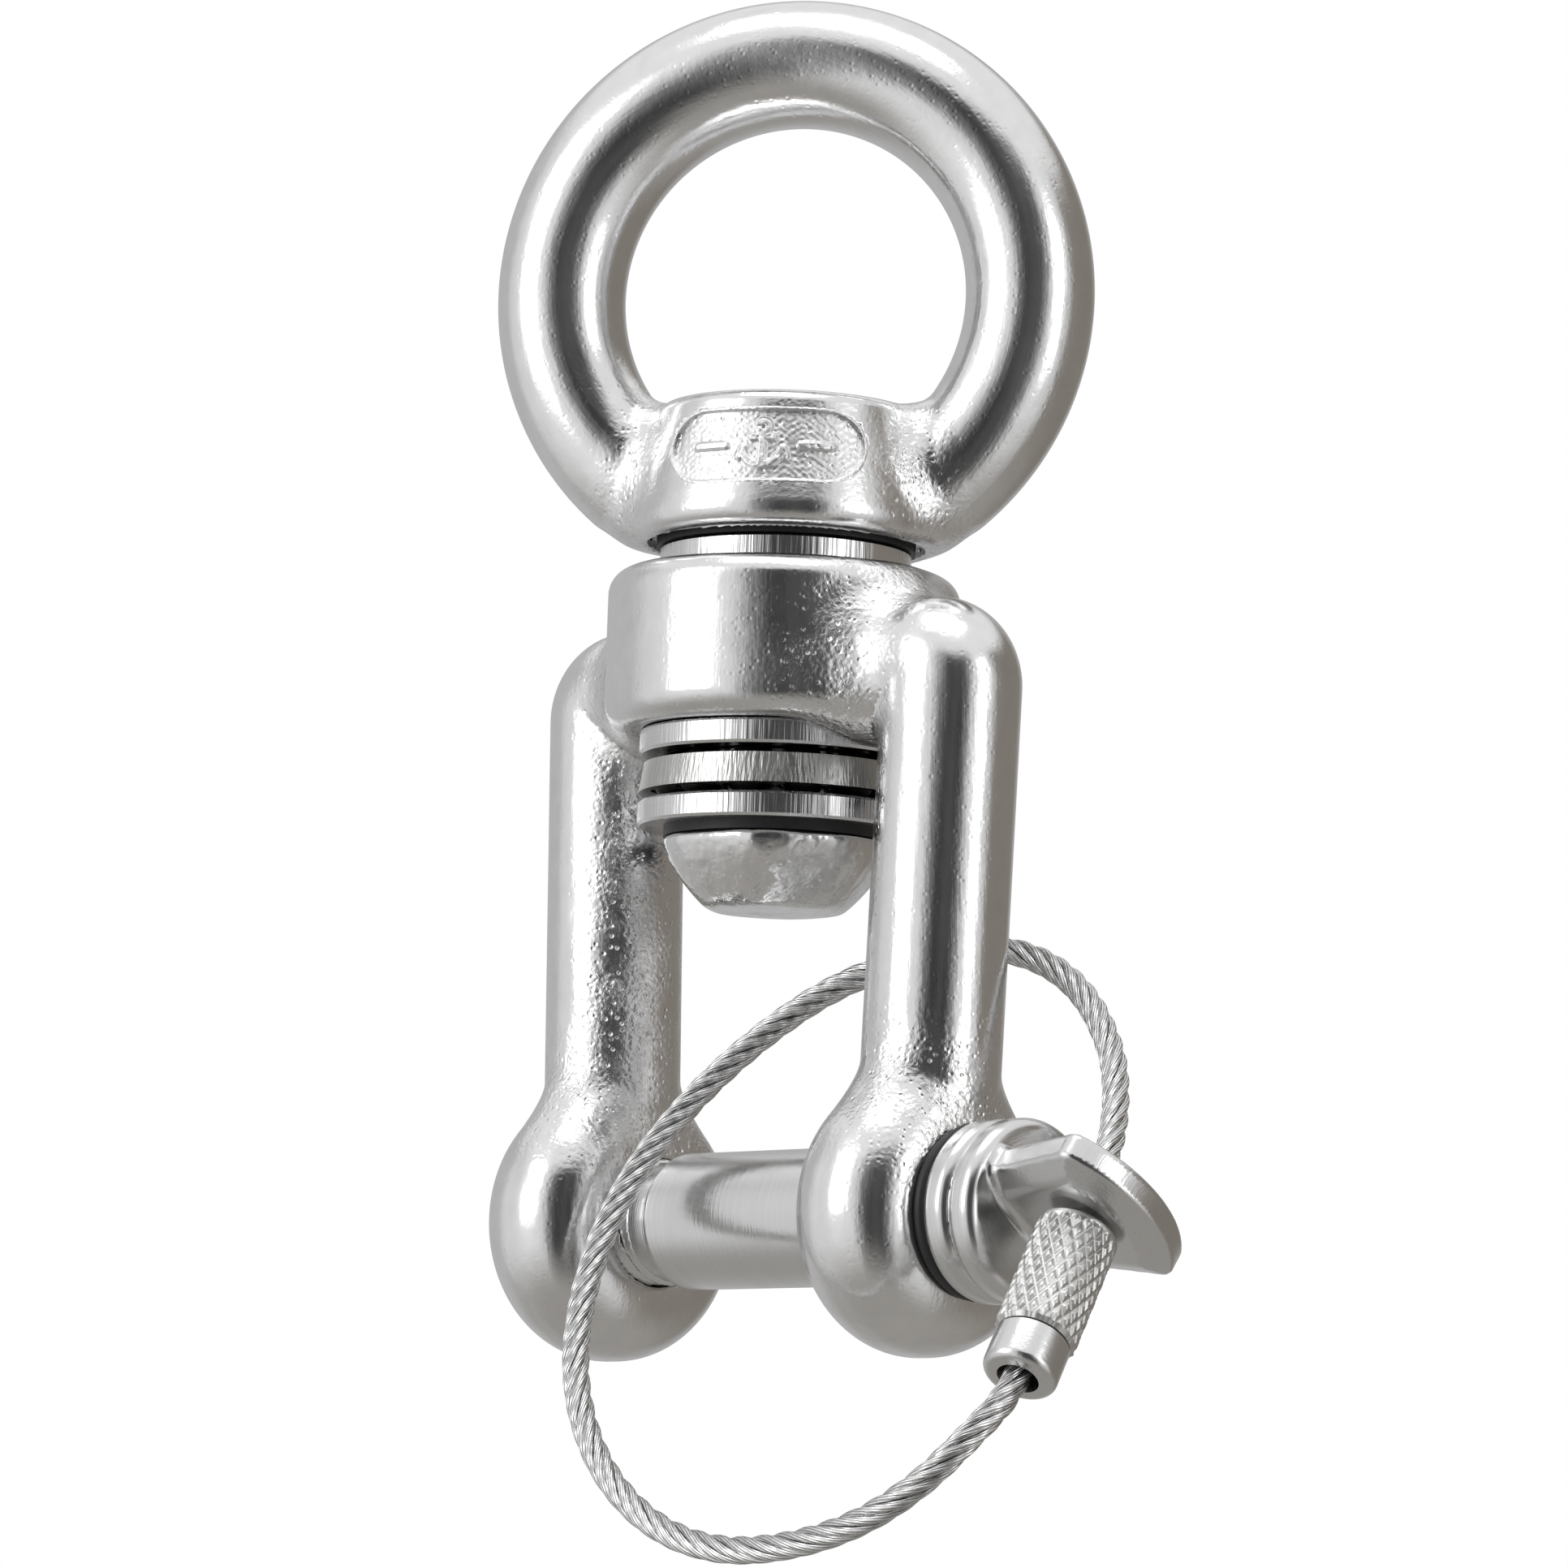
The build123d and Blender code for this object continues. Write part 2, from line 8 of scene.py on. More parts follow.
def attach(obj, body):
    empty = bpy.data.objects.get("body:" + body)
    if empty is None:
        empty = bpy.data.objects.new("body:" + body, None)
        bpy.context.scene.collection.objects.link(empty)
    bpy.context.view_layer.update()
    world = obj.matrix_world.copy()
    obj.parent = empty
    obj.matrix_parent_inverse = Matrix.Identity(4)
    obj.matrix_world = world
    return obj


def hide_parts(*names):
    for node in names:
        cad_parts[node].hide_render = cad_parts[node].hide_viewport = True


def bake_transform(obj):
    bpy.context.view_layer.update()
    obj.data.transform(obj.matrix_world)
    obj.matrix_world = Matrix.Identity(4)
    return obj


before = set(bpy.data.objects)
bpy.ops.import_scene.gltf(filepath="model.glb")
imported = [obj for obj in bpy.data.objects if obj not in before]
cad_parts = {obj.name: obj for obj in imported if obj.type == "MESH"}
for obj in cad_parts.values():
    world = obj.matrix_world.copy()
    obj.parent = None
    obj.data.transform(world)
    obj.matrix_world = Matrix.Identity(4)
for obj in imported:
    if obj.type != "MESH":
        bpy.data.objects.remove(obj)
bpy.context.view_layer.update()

MM = 0.001


# Camera: below the swivel's middle, looking slightly up, with a small roll
CAMERA_PLACE = (0.47888, -0.45644, -0.12788)
CAMERA_ROLL = radians(1.957)
view_direction = Vector((-0.7178, 0.6853, 0.1231)).normalized()
camera = bpy.data.objects.new("camera", bpy.data.cameras.new("camera"))
camera.data.lens = 164.86
camera.data.sensor_width = 36
camera.data.clip_start = 0.01
camera.matrix_world = (
    Matrix.Translation(CAMERA_PLACE)
    @ view_direction.to_track_quat("-Z", "Y").to_matrix().to_4x4()
    @ Matrix.Rotation(CAMERA_ROLL, 4, "Z")
)
bpy.context.collection.objects.link(camera)
bpy.context.scene.camera = camera
towards_camera = Vector((-view_direction.x, -view_direction.y, 0)).normalized()
camera_right = Vector((-towards_camera.y, towards_camera.x, 0))


# Shapes as distance fields, in millimetres: each function takes an array of points. An _R is a radius,
# and a _ROUNDING or _FILLET is the radius of an outer or an inner edge.
EDGE_ROUNDING = 0.25

# Eye: a ring that grows out of a flared collar
RING_R, RING_WIRE_R, RING_FILLET = 22.3, 6.0, 2.6
EYE_TURN = radians(35.5)
EYE_NORMAL = np.array([sin(EYE_TURN), -cos(EYE_TURN), 0])
EYE_ACROSS = np.array([cos(EYE_TURN), sin(EYE_TURN), 0])
COLLAR_TOP_Z, COLLAR_BASE_Z = -10.7, -24.3
COLLAR_TOP_R, COLLAR_BASE_R = 12.4, 15.4
COLLAR_SLOPE = (COLLAR_BASE_R - COLLAR_TOP_R) / (COLLAR_TOP_Z - COLLAR_BASE_Z)
COLLAR_LEAN = cos(atan(COLLAR_SLOPE))
COLLAR_TOP_ROUNDING = 1.1
COLLAR_BOTTOM_Z, COLLAR_BOTTOM_ROUNDING = -23.8, 2.4
SEAL_RECESS_R, SEAL_RECESS_TOP_Z, SEAL_RECESS_ROUNDING = 12.9, -22.75, 0.3
BOLT_HOLE_R, BOLT_HOLE_TOP_Z = 6.02, -9
BADGE_Z, BADGE_HALF_LENGTH, BADGE_HALF_HEIGHT, BADGE_DEPTH = -16.2, 9.0, 3.4, 0.45
BADGE_EDGE_ROUNDING = 0.18
EYE_BLEND_REACH, EYE_MARKS_SLANT, EYE_MARKS_STRETCH = 4.5, 4, 1.3

# Fork: the boss, two arms that lean outwards from their elbows, and an ear on each for the pin
PIN_Z = -86.3
BOSS_R, BOSS_MIDDLE_Z, BOSS_HALF_HEIGHT, BOSS_ROUNDING = 16.4, -33.8, 7.5, 2.4
BOSS_HOLE_R, BOSS_HOLE_ROUNDING, BOSS_FILLET = 8.0, 0.3, 4.5
BEARING_SPACE_R, BEARING_SPACE_Z, BEARING_SPACE_HALF_HEIGHT = 13.5, -46.3, 5.0
BEARING_SPACE_ROUNDING = 0.4
ARM_R, ARM_X, ARM_TOP_Z, ARM_LENGTH = 6.4, 22.4, -36.4, 39
ARM_LEAN = radians(1.9)
ELBOW_R, ELBOW_X, ELBOW_Z = 2.1, 20.3, -38.5
EAR_X, EAR_FLAT_HALF, EAR_CORE_R, EAR_ROUNDING = 20.7, 0.5, 6.8, 6.1
EAR_SIDE_FILLET, EAR_FRONT_FILLET, NECK_X = 0.8, 2.6, 20.8
PIN_HOLE_R, THREAD_HOLE_R = 6.42, 6.0
BOSS_BLEND_REACH, NECK_BLEND_REACH = 6.8, 7.0
INNER_X, INNER_TOP_Z, INNER_BOTTOM_Z = 21, -40, -77
FORK_MARKS_SLANT, FORK_MARKS_STRETCH = 0.08, 0.06
FAR = 99.0

# Clevis pin, along X: thread, relief, shank, neck and two head rings, and the tab
SHANK_R, SHANK_START_X, SHANK_END_X, SHANK_ROUNDING = 6.35, -9.8, 30, 0.6
RELIEF_R, RELIEF_START_X, RELIEF_END_X = 5.5, -13.0, -9.0
THREAD_ROOT_R, THREAD_DEPTH, THREAD_PITCH, THREAD_SLOPE = 5.2, 0.75, 1.75, 0.75
THREAD_START_X, THREAD_END_X, THREAD_ROUNDING = -28.4, -11.8, 0.5
NECK_R, NECK_START_X, NECK_END_X = 7.0, 28.5, 34.0
HEAD_RING_R, HEAD_RING_HALF_WIDTH, HEAD_RING_ROUNDING = 8.3, 1.6, 1.2
FIRST_RING_X, SECOND_RING_X, FIRST_RING_FILLET, SECOND_RING_FILLET = 30.1, 33.3, 0.4, 0.3
TAB_TURN, TAB_X, TAB_HALF_THICKNESS, TAB_FILLET = radians(35), 34.9, 1.9, 1.1
TAB_HALF_WIDTH, TAB_FLARE, TAB_SIDE_SLOPE, TAB_CORNER_ROUNDING = 6.6, 0.19, 0.98, 0.7
TAB_END_R, TAB_END_CENTRE, TAB_ROOT = 12.08, 1.92, -0.8
FRONT_BEVEL_WIDTH, FRONT_BEVEL_SLOPE, FRONT_BEVEL_SCALE = 2.3, 0.5, 0.89
BACK_BEVEL_WIDTH, BACK_BEVEL_SLOPE, BACK_BEVEL_SCALE = 0.5, 0.8, 0.78
TAB_ROUNDING = 0.2
TAB_HOLE_R, TAB_HOLE_AT = 2.0, 6.4

# Swivel bolt: a domed head with six facets, the shank, and the peened top
HEAD_R, HEAD_TOP_Z, HEAD_BOTTOM_Z = 11.0, -51.2, -57.9
HEAD_TOP_ROUNDING, HEAD_BOTTOM_ROUNDING = 1.0, 0.5
DOME_R, DOME_Z, DOME_ROUNDING = 12.93, -46.6, 1.6
FACETS, FACET_HALF_WIDTH, FACET_SLOPE, FACET_SCALE, FACET_ROUNDING = 6, 6.8, 0.65, 0.84, 1.3
BOLT_SHANK_R, BOLT_SHANK_BOTTOM_Z, BOLT_SHANK_DEPTH = 6.0, -52.0, 1.5
PEEN_R, PEEN_DOME_R, PEEN_DOME_Z, PEEN_BOTTOM_Z, PEEN_ROUNDING = 5.4, 8.6, -17.4, -13.0, 0.3


def join(a, b, r):
    """Union of two shapes with a fillet of radius r."""
    fillet = np.hypot(np.maximum(r - a, 0), np.maximum(r - b, 0))
    return np.maximum(r, np.minimum(a, b)) - fillet


def both(a, b, r):
    """What two shapes share, with its edges rounded to radius r."""
    rounding = np.hypot(np.maximum(r + a, 0), np.maximum(r + b, 0))
    return np.minimum(-r, np.maximum(a, b)) + rounding


def cut(a, b, r):
    """Shape a without shape b, with the edges rounded to radius r."""
    return both(a, -b, r)


def fade(value, start, length):
    """0 up to start, then rising to 1 over a length."""
    return np.clip((value - start) / length, 0, 1)


def collar_side(p):
    """Distance outside the collar's flared side, taken as endless."""
    rho = np.hypot(p[:, 0], p[:, 1])
    return (rho - COLLAR_TOP_R - (COLLAR_TOP_Z - p[:, 2]) * COLLAR_SLOPE) * COLLAR_LEAN


def eye_parts(p):
    """The eye's ring and collar, before they are joined."""
    across, out, z = p @ EYE_ACROSS, p @ EYE_NORMAL, p[:, 2]
    ring = np.hypot(np.hypot(across, z) - RING_R, out) - RING_WIRE_R
    return ring, both(collar_side(p), z - COLLAR_TOP_Z, COLLAR_TOP_ROUNDING)


def eye_shape(p):
    """The eye: ring and collar with the seal's recess, the bolt's hole and the badge's pocket."""
    across, out, z = p @ EYE_ACROSS, p @ EYE_NORMAL, p[:, 2]
    rho = np.hypot(p[:, 0], p[:, 1])
    ring, collar = eye_parts(p)
    body = both(join(ring, collar, RING_FILLET), COLLAR_BOTTOM_Z - z, COLLAR_BOTTOM_ROUNDING)
    body = cut(body, np.maximum(rho - SEAL_RECESS_R, z - SEAL_RECESS_TOP_Z), SEAL_RECESS_ROUNDING)
    body = cut(body, np.maximum(rho - BOLT_HOLE_R, z - BOLT_HOLE_TOP_Z), EDGE_ROUNDING)
    slot = np.hypot(np.maximum(abs(across) - BADGE_HALF_LENGTH + BADGE_HALF_HEIGHT, 0), z - BADGE_Z)
    pocket = np.maximum(slot - BADGE_HALF_HEIGHT, -collar_side(p) - BADGE_DEPTH)
    return cut(body, np.maximum(pocket, -out), BADGE_EDGE_ROUNDING)


def eye_unpolished(p):
    """How deep a point lies in the blend of ring and collar, where the polishing wheel misses."""
    ring, collar = eye_parts(p)
    return np.clip(1 - np.maximum(ring, collar) / EYE_BLEND_REACH, 0, 1)


def eye_brushing(p):
    """Coordinates in metres for the polishing wheel's marks: they change slowly along the ring."""
    across, out, z = p @ EYE_ACROSS, p @ EYE_NORMAL, p[:, 2]
    angle = np.arctan2(across, -z)
    slant, along_ring = EYE_MARKS_SLANT * np.sin(angle), EYE_MARKS_STRETCH * abs(angle)
    return np.stack([np.hypot(across, z) + slant, out, along_ring], 1) * MM


def side_of(p):
    """The points folded on to the fork's +X half."""
    q = p.copy()
    q[:, 0] = abs(q[:, 0])
    return q


def fork_parts(p):
    """The fork's boss, arm and ear, before they are joined."""
    x, y, z = side_of(p).T
    rho = np.hypot(x, y)
    boss = both(rho - BOSS_R, abs(z - BOSS_MIDDLE_Z) - BOSS_HALF_HEIGHT, BOSS_ROUNDING)
    # Distances in the arms' plane from the arm's axis, which runs level, round the elbow, and down
    beyond, above = x - ELBOW_X, z - ELBOW_Z
    level = np.hypot(np.maximum(beyond, 0), z - ARM_TOP_Z)
    bend = np.where((beyond > 0) & (above > 0), abs(np.hypot(beyond, above) - ELBOW_R), FAR)
    run = np.clip((ARM_X - x) * sin(ARM_LEAN) - above * cos(ARM_LEAN), 0, ARM_LENGTH)
    down = np.hypot(x - ARM_X + run * sin(ARM_LEAN), above + run * cos(ARM_LEAN))
    arm = np.hypot(np.minimum(np.minimum(level, bend), down), y) - ARM_R
    ear_x, ear_r = abs(x - EAR_X) - EAR_FLAT_HALF, np.hypot(y, z - PIN_Z) - EAR_CORE_R
    ear = (np.hypot(np.maximum(ear_x, 0), np.maximum(ear_r, 0)) - EAR_ROUNDING
           + np.minimum(np.maximum(ear_x, ear_r), 0))
    return boss, arm, ear


def fork_shape(p):
    """The fork, with room for the bearing and holes for the bolt's bush and the pin."""
    x, y, z = side_of(p).T
    rho = np.hypot(x, y)
    boss, arm, ear = fork_parts(p)
    body = join(boss, arm, BOSS_FILLET)
    facing = y ** 2 / np.maximum(y ** 2 + (x - NECK_X) ** 2, 1)
    body = join(body, ear, EAR_SIDE_FILLET + EAR_FRONT_FILLET * facing)
    bearing_space = np.maximum(rho - BEARING_SPACE_R, abs(z - BEARING_SPACE_Z) - BEARING_SPACE_HALF_HEIGHT)
    body = cut(body, bearing_space, BEARING_SPACE_ROUNDING)
    body = cut(body, rho - BOSS_HOLE_R, BOSS_HOLE_ROUNDING)
    pin_rho = np.hypot(y, z - PIN_Z)
    return cut(body, pin_rho - np.where(p[:, 0] > 0, PIN_HOLE_R, THREAD_HOLE_R), EDGE_ROUNDING)


def fork_unpolished(p):
    """How deep a point lies in a blend, or on the arms' inner sides, where the wheel misses."""
    x, y, z = side_of(p).T
    boss, arm, ear = fork_parts(p)
    blend = 1.1 - np.maximum(boss, arm) / BOSS_BLEND_REACH
    neck = 1 - np.maximum(arm, ear) / NECK_BLEND_REACH
    inner = fade(INNER_X - x, 0, 4) * fade(INNER_TOP_Z - z, 0, 3) * fade(z - INNER_BOTTOM_Z, 0, 6)
    return np.clip(np.maximum(np.maximum(blend, neck), 0.9 * inner), 0, 1)


def long_brushing(p):
    """Coordinates in metres for marks that run up and down, with a slight slant."""
    x, y, z = p.T
    return np.stack([x, y + FORK_MARKS_SLANT * z, FORK_MARKS_STRETCH * z], 1) * MM


def pin_shape(p):
    """The clevis pin: thread, relief, shank, two head rings, and a flared tab with its hole."""
    x = p[:, 0]
    rho = np.hypot(p[:, 1], p[:, 2] - PIN_Z)
    turn = np.arctan2(p[:, 2] - PIN_Z, p[:, 1]) / tau
    ridge = abs((x / THREAD_PITCH - turn) % 1 - 0.5) * 2
    shank = both(rho - SHANK_R, np.maximum(SHANK_START_X - x, x - SHANK_END_X), SHANK_ROUNDING)
    relief = np.maximum(rho - RELIEF_R, np.maximum(RELIEF_START_X - x, x - RELIEF_END_X))
    thread = both((rho - THREAD_ROOT_R - THREAD_DEPTH * ridge) * THREAD_SLOPE,
                  np.maximum(THREAD_START_X - x, x - THREAD_END_X), THREAD_ROUNDING)
    body = np.minimum(np.minimum(shank, relief), thread)
    neck = np.maximum(rho - NECK_R, np.maximum(NECK_START_X - x, x - NECK_END_X))
    first, second = (both(rho - HEAD_RING_R, abs(x - ring_x) - HEAD_RING_HALF_WIDTH, HEAD_RING_ROUNDING)
                     for ring_x in (FIRST_RING_X, SECOND_RING_X))
    head = join(join(first, neck, FIRST_RING_FILLET), second, SECOND_RING_FILLET)
    across = p[:, 1] * cos(TAB_TURN) - (p[:, 2] - PIN_Z) * sin(TAB_TURN)
    through = p[:, 1] * -sin(TAB_TURN) - (p[:, 2] - PIN_Z) * cos(TAB_TURN)
    length = x - TAB_X
    half_width = TAB_HALF_WIDTH + TAB_FLARE * np.maximum(length, 0)
    round_end = np.hypot(length - TAB_END_CENTRE, across) - TAB_END_R
    outline = both((abs(across) - half_width) * TAB_SIDE_SLOPE, round_end, TAB_CORNER_ROUNDING)
    front_bevel = (through - TAB_HALF_THICKNESS
                   + (outline + FRONT_BEVEL_WIDTH) * FRONT_BEVEL_SLOPE) * FRONT_BEVEL_SCALE
    back_bevel = (-through - TAB_HALF_THICKNESS
                  + (outline + BACK_BEVEL_WIDTH) * BACK_BEVEL_SLOPE) * BACK_BEVEL_SCALE
    tab = both(np.maximum(outline, TAB_ROOT - length), abs(through) - TAB_HALF_THICKNESS, TAB_ROUNDING)
    tab = both(both(tab, front_bevel, EDGE_ROUNDING), back_bevel, TAB_ROUNDING)
    body = np.minimum(body, join(head, tab, TAB_FILLET))
    return cut(body, np.hypot(across, length - TAB_HOLE_AT) - TAB_HOLE_R, EDGE_ROUNDING)


def bolt_shape(p):
    """The swivel bolt: a domed head with soft facets, the shank, and the peened top."""
    x, y, z = p.T
    rho = np.hypot(x, y)
    head = both(rho - HEAD_R, np.hypot(rho, z - DOME_Z) - DOME_R, DOME_ROUNDING)
    head = both(both(head, z - HEAD_TOP_Z, HEAD_TOP_ROUNDING), HEAD_BOTTOM_Z - z, HEAD_BOTTOM_ROUNDING)
    for n in range(FACETS):
        angle = EYE_TURN + n * tau / FACETS
        reach = FACET_HALF_WIDTH + (z - HEAD_BOTTOM_Z) * FACET_SLOPE
        facet = (x * cos(angle) + y * sin(angle) - reach) * FACET_SCALE
        head = both(head, facet, FACET_ROUNDING)
    shank_top_z = COLLAR_TOP_Z - BOLT_SHANK_DEPTH
    shank = np.maximum(rho - BOLT_SHANK_R, np.maximum(z - shank_top_z, BOLT_SHANK_BOTTOM_Z - z))
    peen = both(np.hypot(rho, z - PEEN_DOME_Z) - PEEN_DOME_R, rho - PEEN_R, PEEN_ROUNDING)
    peen = np.maximum(peen, PEEN_BOTTOM_Z - z)
    return np.minimum(np.minimum(head, shank), peen)


GRID_PARTS, SURFACE_STEPS, LONGEST_STEP, LEAST_SLOPE = 12, 3, 0.45, 0.2


def skin(shape, low, high, cell):
    """The shape's surface inside a box: one vertex in each grid cell that it crosses, moved on to it.

    Returns the points, the faces, each a quad round a grid edge that crosses the surface, and the normals.
    """
    axes = [np.arange(a, b + cell, cell) for a, b in zip(low, high)]
    grid = np.stack(np.meshgrid(*axes, indexing="ij"), -1)
    value = np.concatenate([shape(part) for part in np.array_split(grid.reshape(-1, 3), GRID_PARTS)])
    value = value.reshape(grid.shape[:3])
    inside = value < 0
    size = np.array(value.shape) - 1
    corner = [(i, j, k) for i in (0, 1) for j in (0, 1) for k in (0, 1)]

    def at_corner(array, c):
        """The array's values at one corner of each cell."""
        return array[c[0]:c[0] + size[0], c[1]:c[1] + size[1], c[2]:c[2] + size[2]]

    count = sum(at_corner(inside, c).astype(np.int8) for c in corner)
    live = (count > 0) & (count < len(corner))
    index = np.full(size, -1)
    index[live] = np.arange(live.sum())

    # Each vertex starts at the mean of the places where its cell's edges cross the surface
    total, hits = np.zeros((live.sum(), 3)), np.zeros(live.sum())
    for c in corner:
        for axis in range(3):
            if c[axis]:
                continue
            d = tuple(1 if a == axis else c[a] for a in range(3))
            value_c, value_d = at_corner(value, c)[live], at_corner(value, d)[live]
            crossing = (value_c < 0) != (value_d < 0)
            share = np.where(crossing, value_c / np.where(crossing, value_c - value_d, 1), 0)
            point = at_corner(grid, c)[live] + share[:, None] * cell * np.eye(3)[axis]
            total += point * crossing[:, None]
            hits += crossing
    points = total / hits[:, None]

    # A quad joins the four cells round each grid edge that crosses the surface
    faces = []
    for axis in range(3):
        b, c = (axis + 1) % 3, (axis + 2) % 3
        here = [slice(1, -1)] * 3
        here[axis] = slice(0, -1)
        there = list(here)
        there[axis] = slice(1, None)
        inside_here, inside_there = inside[tuple(here)], inside[tuple(there)]
        at = np.argwhere(inside_here != inside_there)
        at[:, b] += 1
        at[:, c] += 1
        step_b, step_c = np.eye(3, dtype=int)[b], np.eye(3, dtype=int)[c]
        cells = [at - step_b - step_c, at - step_c, at, at - step_b]
        quads = np.stack([index[tuple(q.T)] for q in cells], 1)
        outward = inside_here[inside_here != inside_there]
        faces.append(np.where(outward[:, None], quads, quads[:, ::-1]))

    # Steps down the gradient bring the vertices on to the surface, none longer than LONGEST_STEP cells
    for _ in range(SURFACE_STEPS):
        slope = gradient(shape, points)
        length = np.maximum((slope ** 2).sum(1), LEAST_SLOPE)
        move = slope * (shape(points) / length)[:, None]
        too_long = np.maximum(np.linalg.norm(move, axis=1) / (LONGEST_STEP * cell), 1)
        points = points - move / too_long[:, None]
    slope = gradient(shape, points)
    normals = slope / np.maximum(np.linalg.norm(slope, axis=1), 1e-9)[:, None]
    return points, np.concatenate(faces), normals


def gradient(shape, p, e=0.04):
    """The shape's slope at each point, from differences over a small distance e."""
    return np.stack([(shape(p + e * a) - shape(p - e * a)) / (2 * e) for a in np.eye(3)], 1)


def mesh_object(name, points, faces, normals=None):
    """A mesh in metres from points in millimetres."""
    mesh = bpy.data.meshes.new(name)
    mesh.from_pydata((np.asarray(points) * MM).tolist(), [], [list(map(int, f)) for f in faces])
    mesh.validate()
    mesh.shade_smooth()
    if normals is not None:
        mesh.normals_split_custom_set_from_vertices(normals.tolist())
    piece = bpy.data.objects.new(name, mesh)
    bpy.context.collection.objects.link(piece)
    return piece


def set_attribute(piece, name, values):
    """A number, or a vector, for each vertex."""
    kind, field = ("FLOAT", "value") if values.ndim == 1 else ("FLOAT_VECTOR", "vector")
    data = piece.data.attributes.new(name, kind, "POINT").data
    data.foreach_set(field, values.astype(np.float32).reshape(-1))


# Materials
def material(name, metallic, colour, roughness):
    """A new material, its node tree and its shader."""
    made = bpy.data.materials.new(name)
    made.use_nodes = True
    shader = made.node_tree.nodes["Principled BSDF"]
    shader.inputs["Metallic"].default_value = metallic
    shader.inputs["Base Color"].default_value = (*colour, 1)
    shader.inputs["Roughness"].default_value = roughness
    return made, made.node_tree, shader


def add_node(tree, kind, values=(), **settings):
    """A node with these settings, and these values or links on its inputs."""
    made = tree.nodes.new(kind)
    for key, value in settings.items():
        setattr(made, key, value)
    for key, value in dict(values).items():
        if isinstance(value, bpy.types.NodeSocket):
            tree.links.new(value, made.inputs[key])
        else:
            made.inputs[key].default_value = value
    return made


def place(tree, scale=(1, 1, 1)):
    """The object's own coordinates, in metres, times a scale for each axis."""
    where = add_node(tree, "ShaderNodeTexCoord")
    return add_node(tree, "ShaderNodeMapping", {"Vector": where.outputs["Object"], "Scale": scale}).outputs[0]


def noise(tree, vector, scale, detail=2.0):
    """Smooth noise round 0.5, with about scale waves in each unit of the vector."""
    values = {"Vector": vector, "Scale": scale, "Detail": detail}
    return add_node(tree, "ShaderNodeTexNoise", values).outputs[0]


def remap(tree, value, low, high, new_low, new_high):
    """A value from low to high, taken to new_low to new_high and held at the ends."""
    values = {0: value, 1: low, 2: high, 3: new_low, 4: new_high}
    return add_node(tree, "ShaderNodeMapRange", values).outputs[0]


def calc(tree, operation, a, b=0.0):
    """A Math node's result."""
    return add_node(tree, "ShaderNodeMath", {0: a, 1: b}, operation=operation).outputs[0]


def bump(tree, shader, heights):
    """Bumps one over the other: (height, depth in metres) pairs."""
    normal = None
    for height, depth in heights:
        made = add_node(tree, "ShaderNodeBump", {"Height": height, "Distance": depth, "Strength": 1.0})
        if normal:
            tree.links.new(normal, made.inputs["Normal"])
        normal = made.outputs[0]
    tree.links.new(normal, shader.inputs["Normal"])


def tint(tree, shader, value, low, high):
    """The base colour, from low to high with a value from 0 to 1."""
    mix = add_node(tree, "ShaderNodeMix", {0: value, 6: (*low, 1), 7: (*high, 1)}, data_type="RGBA")
    tree.links.new(mix.outputs[2], shader.inputs["Base Color"])


def polished(name, duller, waviness=0.00004):
    """Polished forging: the wheel's marks along the "brushed" attribute, and pits where "unpolished" says so.

    duller is added to the roughness, and waviness is the depth in metres of the slow waves of the surface.
    """
    made, tree, shader = material(name, 1, (0.8, 0.8, 0.8), 0.15)
    where = place(tree)
    pitted = add_node(tree, "ShaderNodeAttribute", attribute_name="unpolished").outputs["Fac"]
    patches = remap(tree, noise(tree, where, 260, 3), 0.35, 0.65, 0.15, 1)
    rough_zone = calc(tree, "MULTIPLY", pitted, patches)
    grain = noise(tree, where, 2300, 2)
    fine = remap(tree, noise(tree, where, 4600, 1), 0.42, 0.62, 1, 0)
    waves = noise(tree, where, 300, 2)
    pits = add_node(tree, "ShaderNodeTexVoronoi", {"Vector": where, "Scale": 1250}).outputs[0]
    dots = remap(tree, pits, 0.06, 0.3, 0, 1)
    strewn = calc(tree, "ADD", 0.12, calc(tree, "MULTIPLY", pitted, 0.88))
    brushed = add_node(tree, "ShaderNodeAttribute", attribute_name="brushed").outputs["Vector"]
    strokes = noise(tree, brushed, 2600, 3)
    worn = noise(tree, brushed, 700, 2)
    bump(tree, shader, [
        (waves, waviness),
        (strokes, 0.000012),
        (calc(tree, "MULTIPLY", grain, calc(tree, "ADD", rough_zone, 0.05)), 0.00020),
        (calc(tree, "MULTIPLY", dots, strewn), 0.00008),
        (calc(tree, "MULTIPLY", fine, rough_zone), 0.00004),
    ])
    base = remap(tree, noise(tree, where, 90, 4), 0.3, 0.7, 0.15 + duller, 0.22 + duller)
    streaky = remap(tree, worn, 0.3, 0.7, -0.04, 0.05)
    extra = calc(tree, "ADD", calc(tree, "MULTIPLY", rough_zone, 0.10), streaky)
    tree.links.new(calc(tree, "ADD", base, extra), shader.inputs["Roughness"])
    tint(tree, shader, noise(tree, where, 500, 3), (0.74, 0.74, 0.745), (0.86, 0.86, 0.86))
    return made


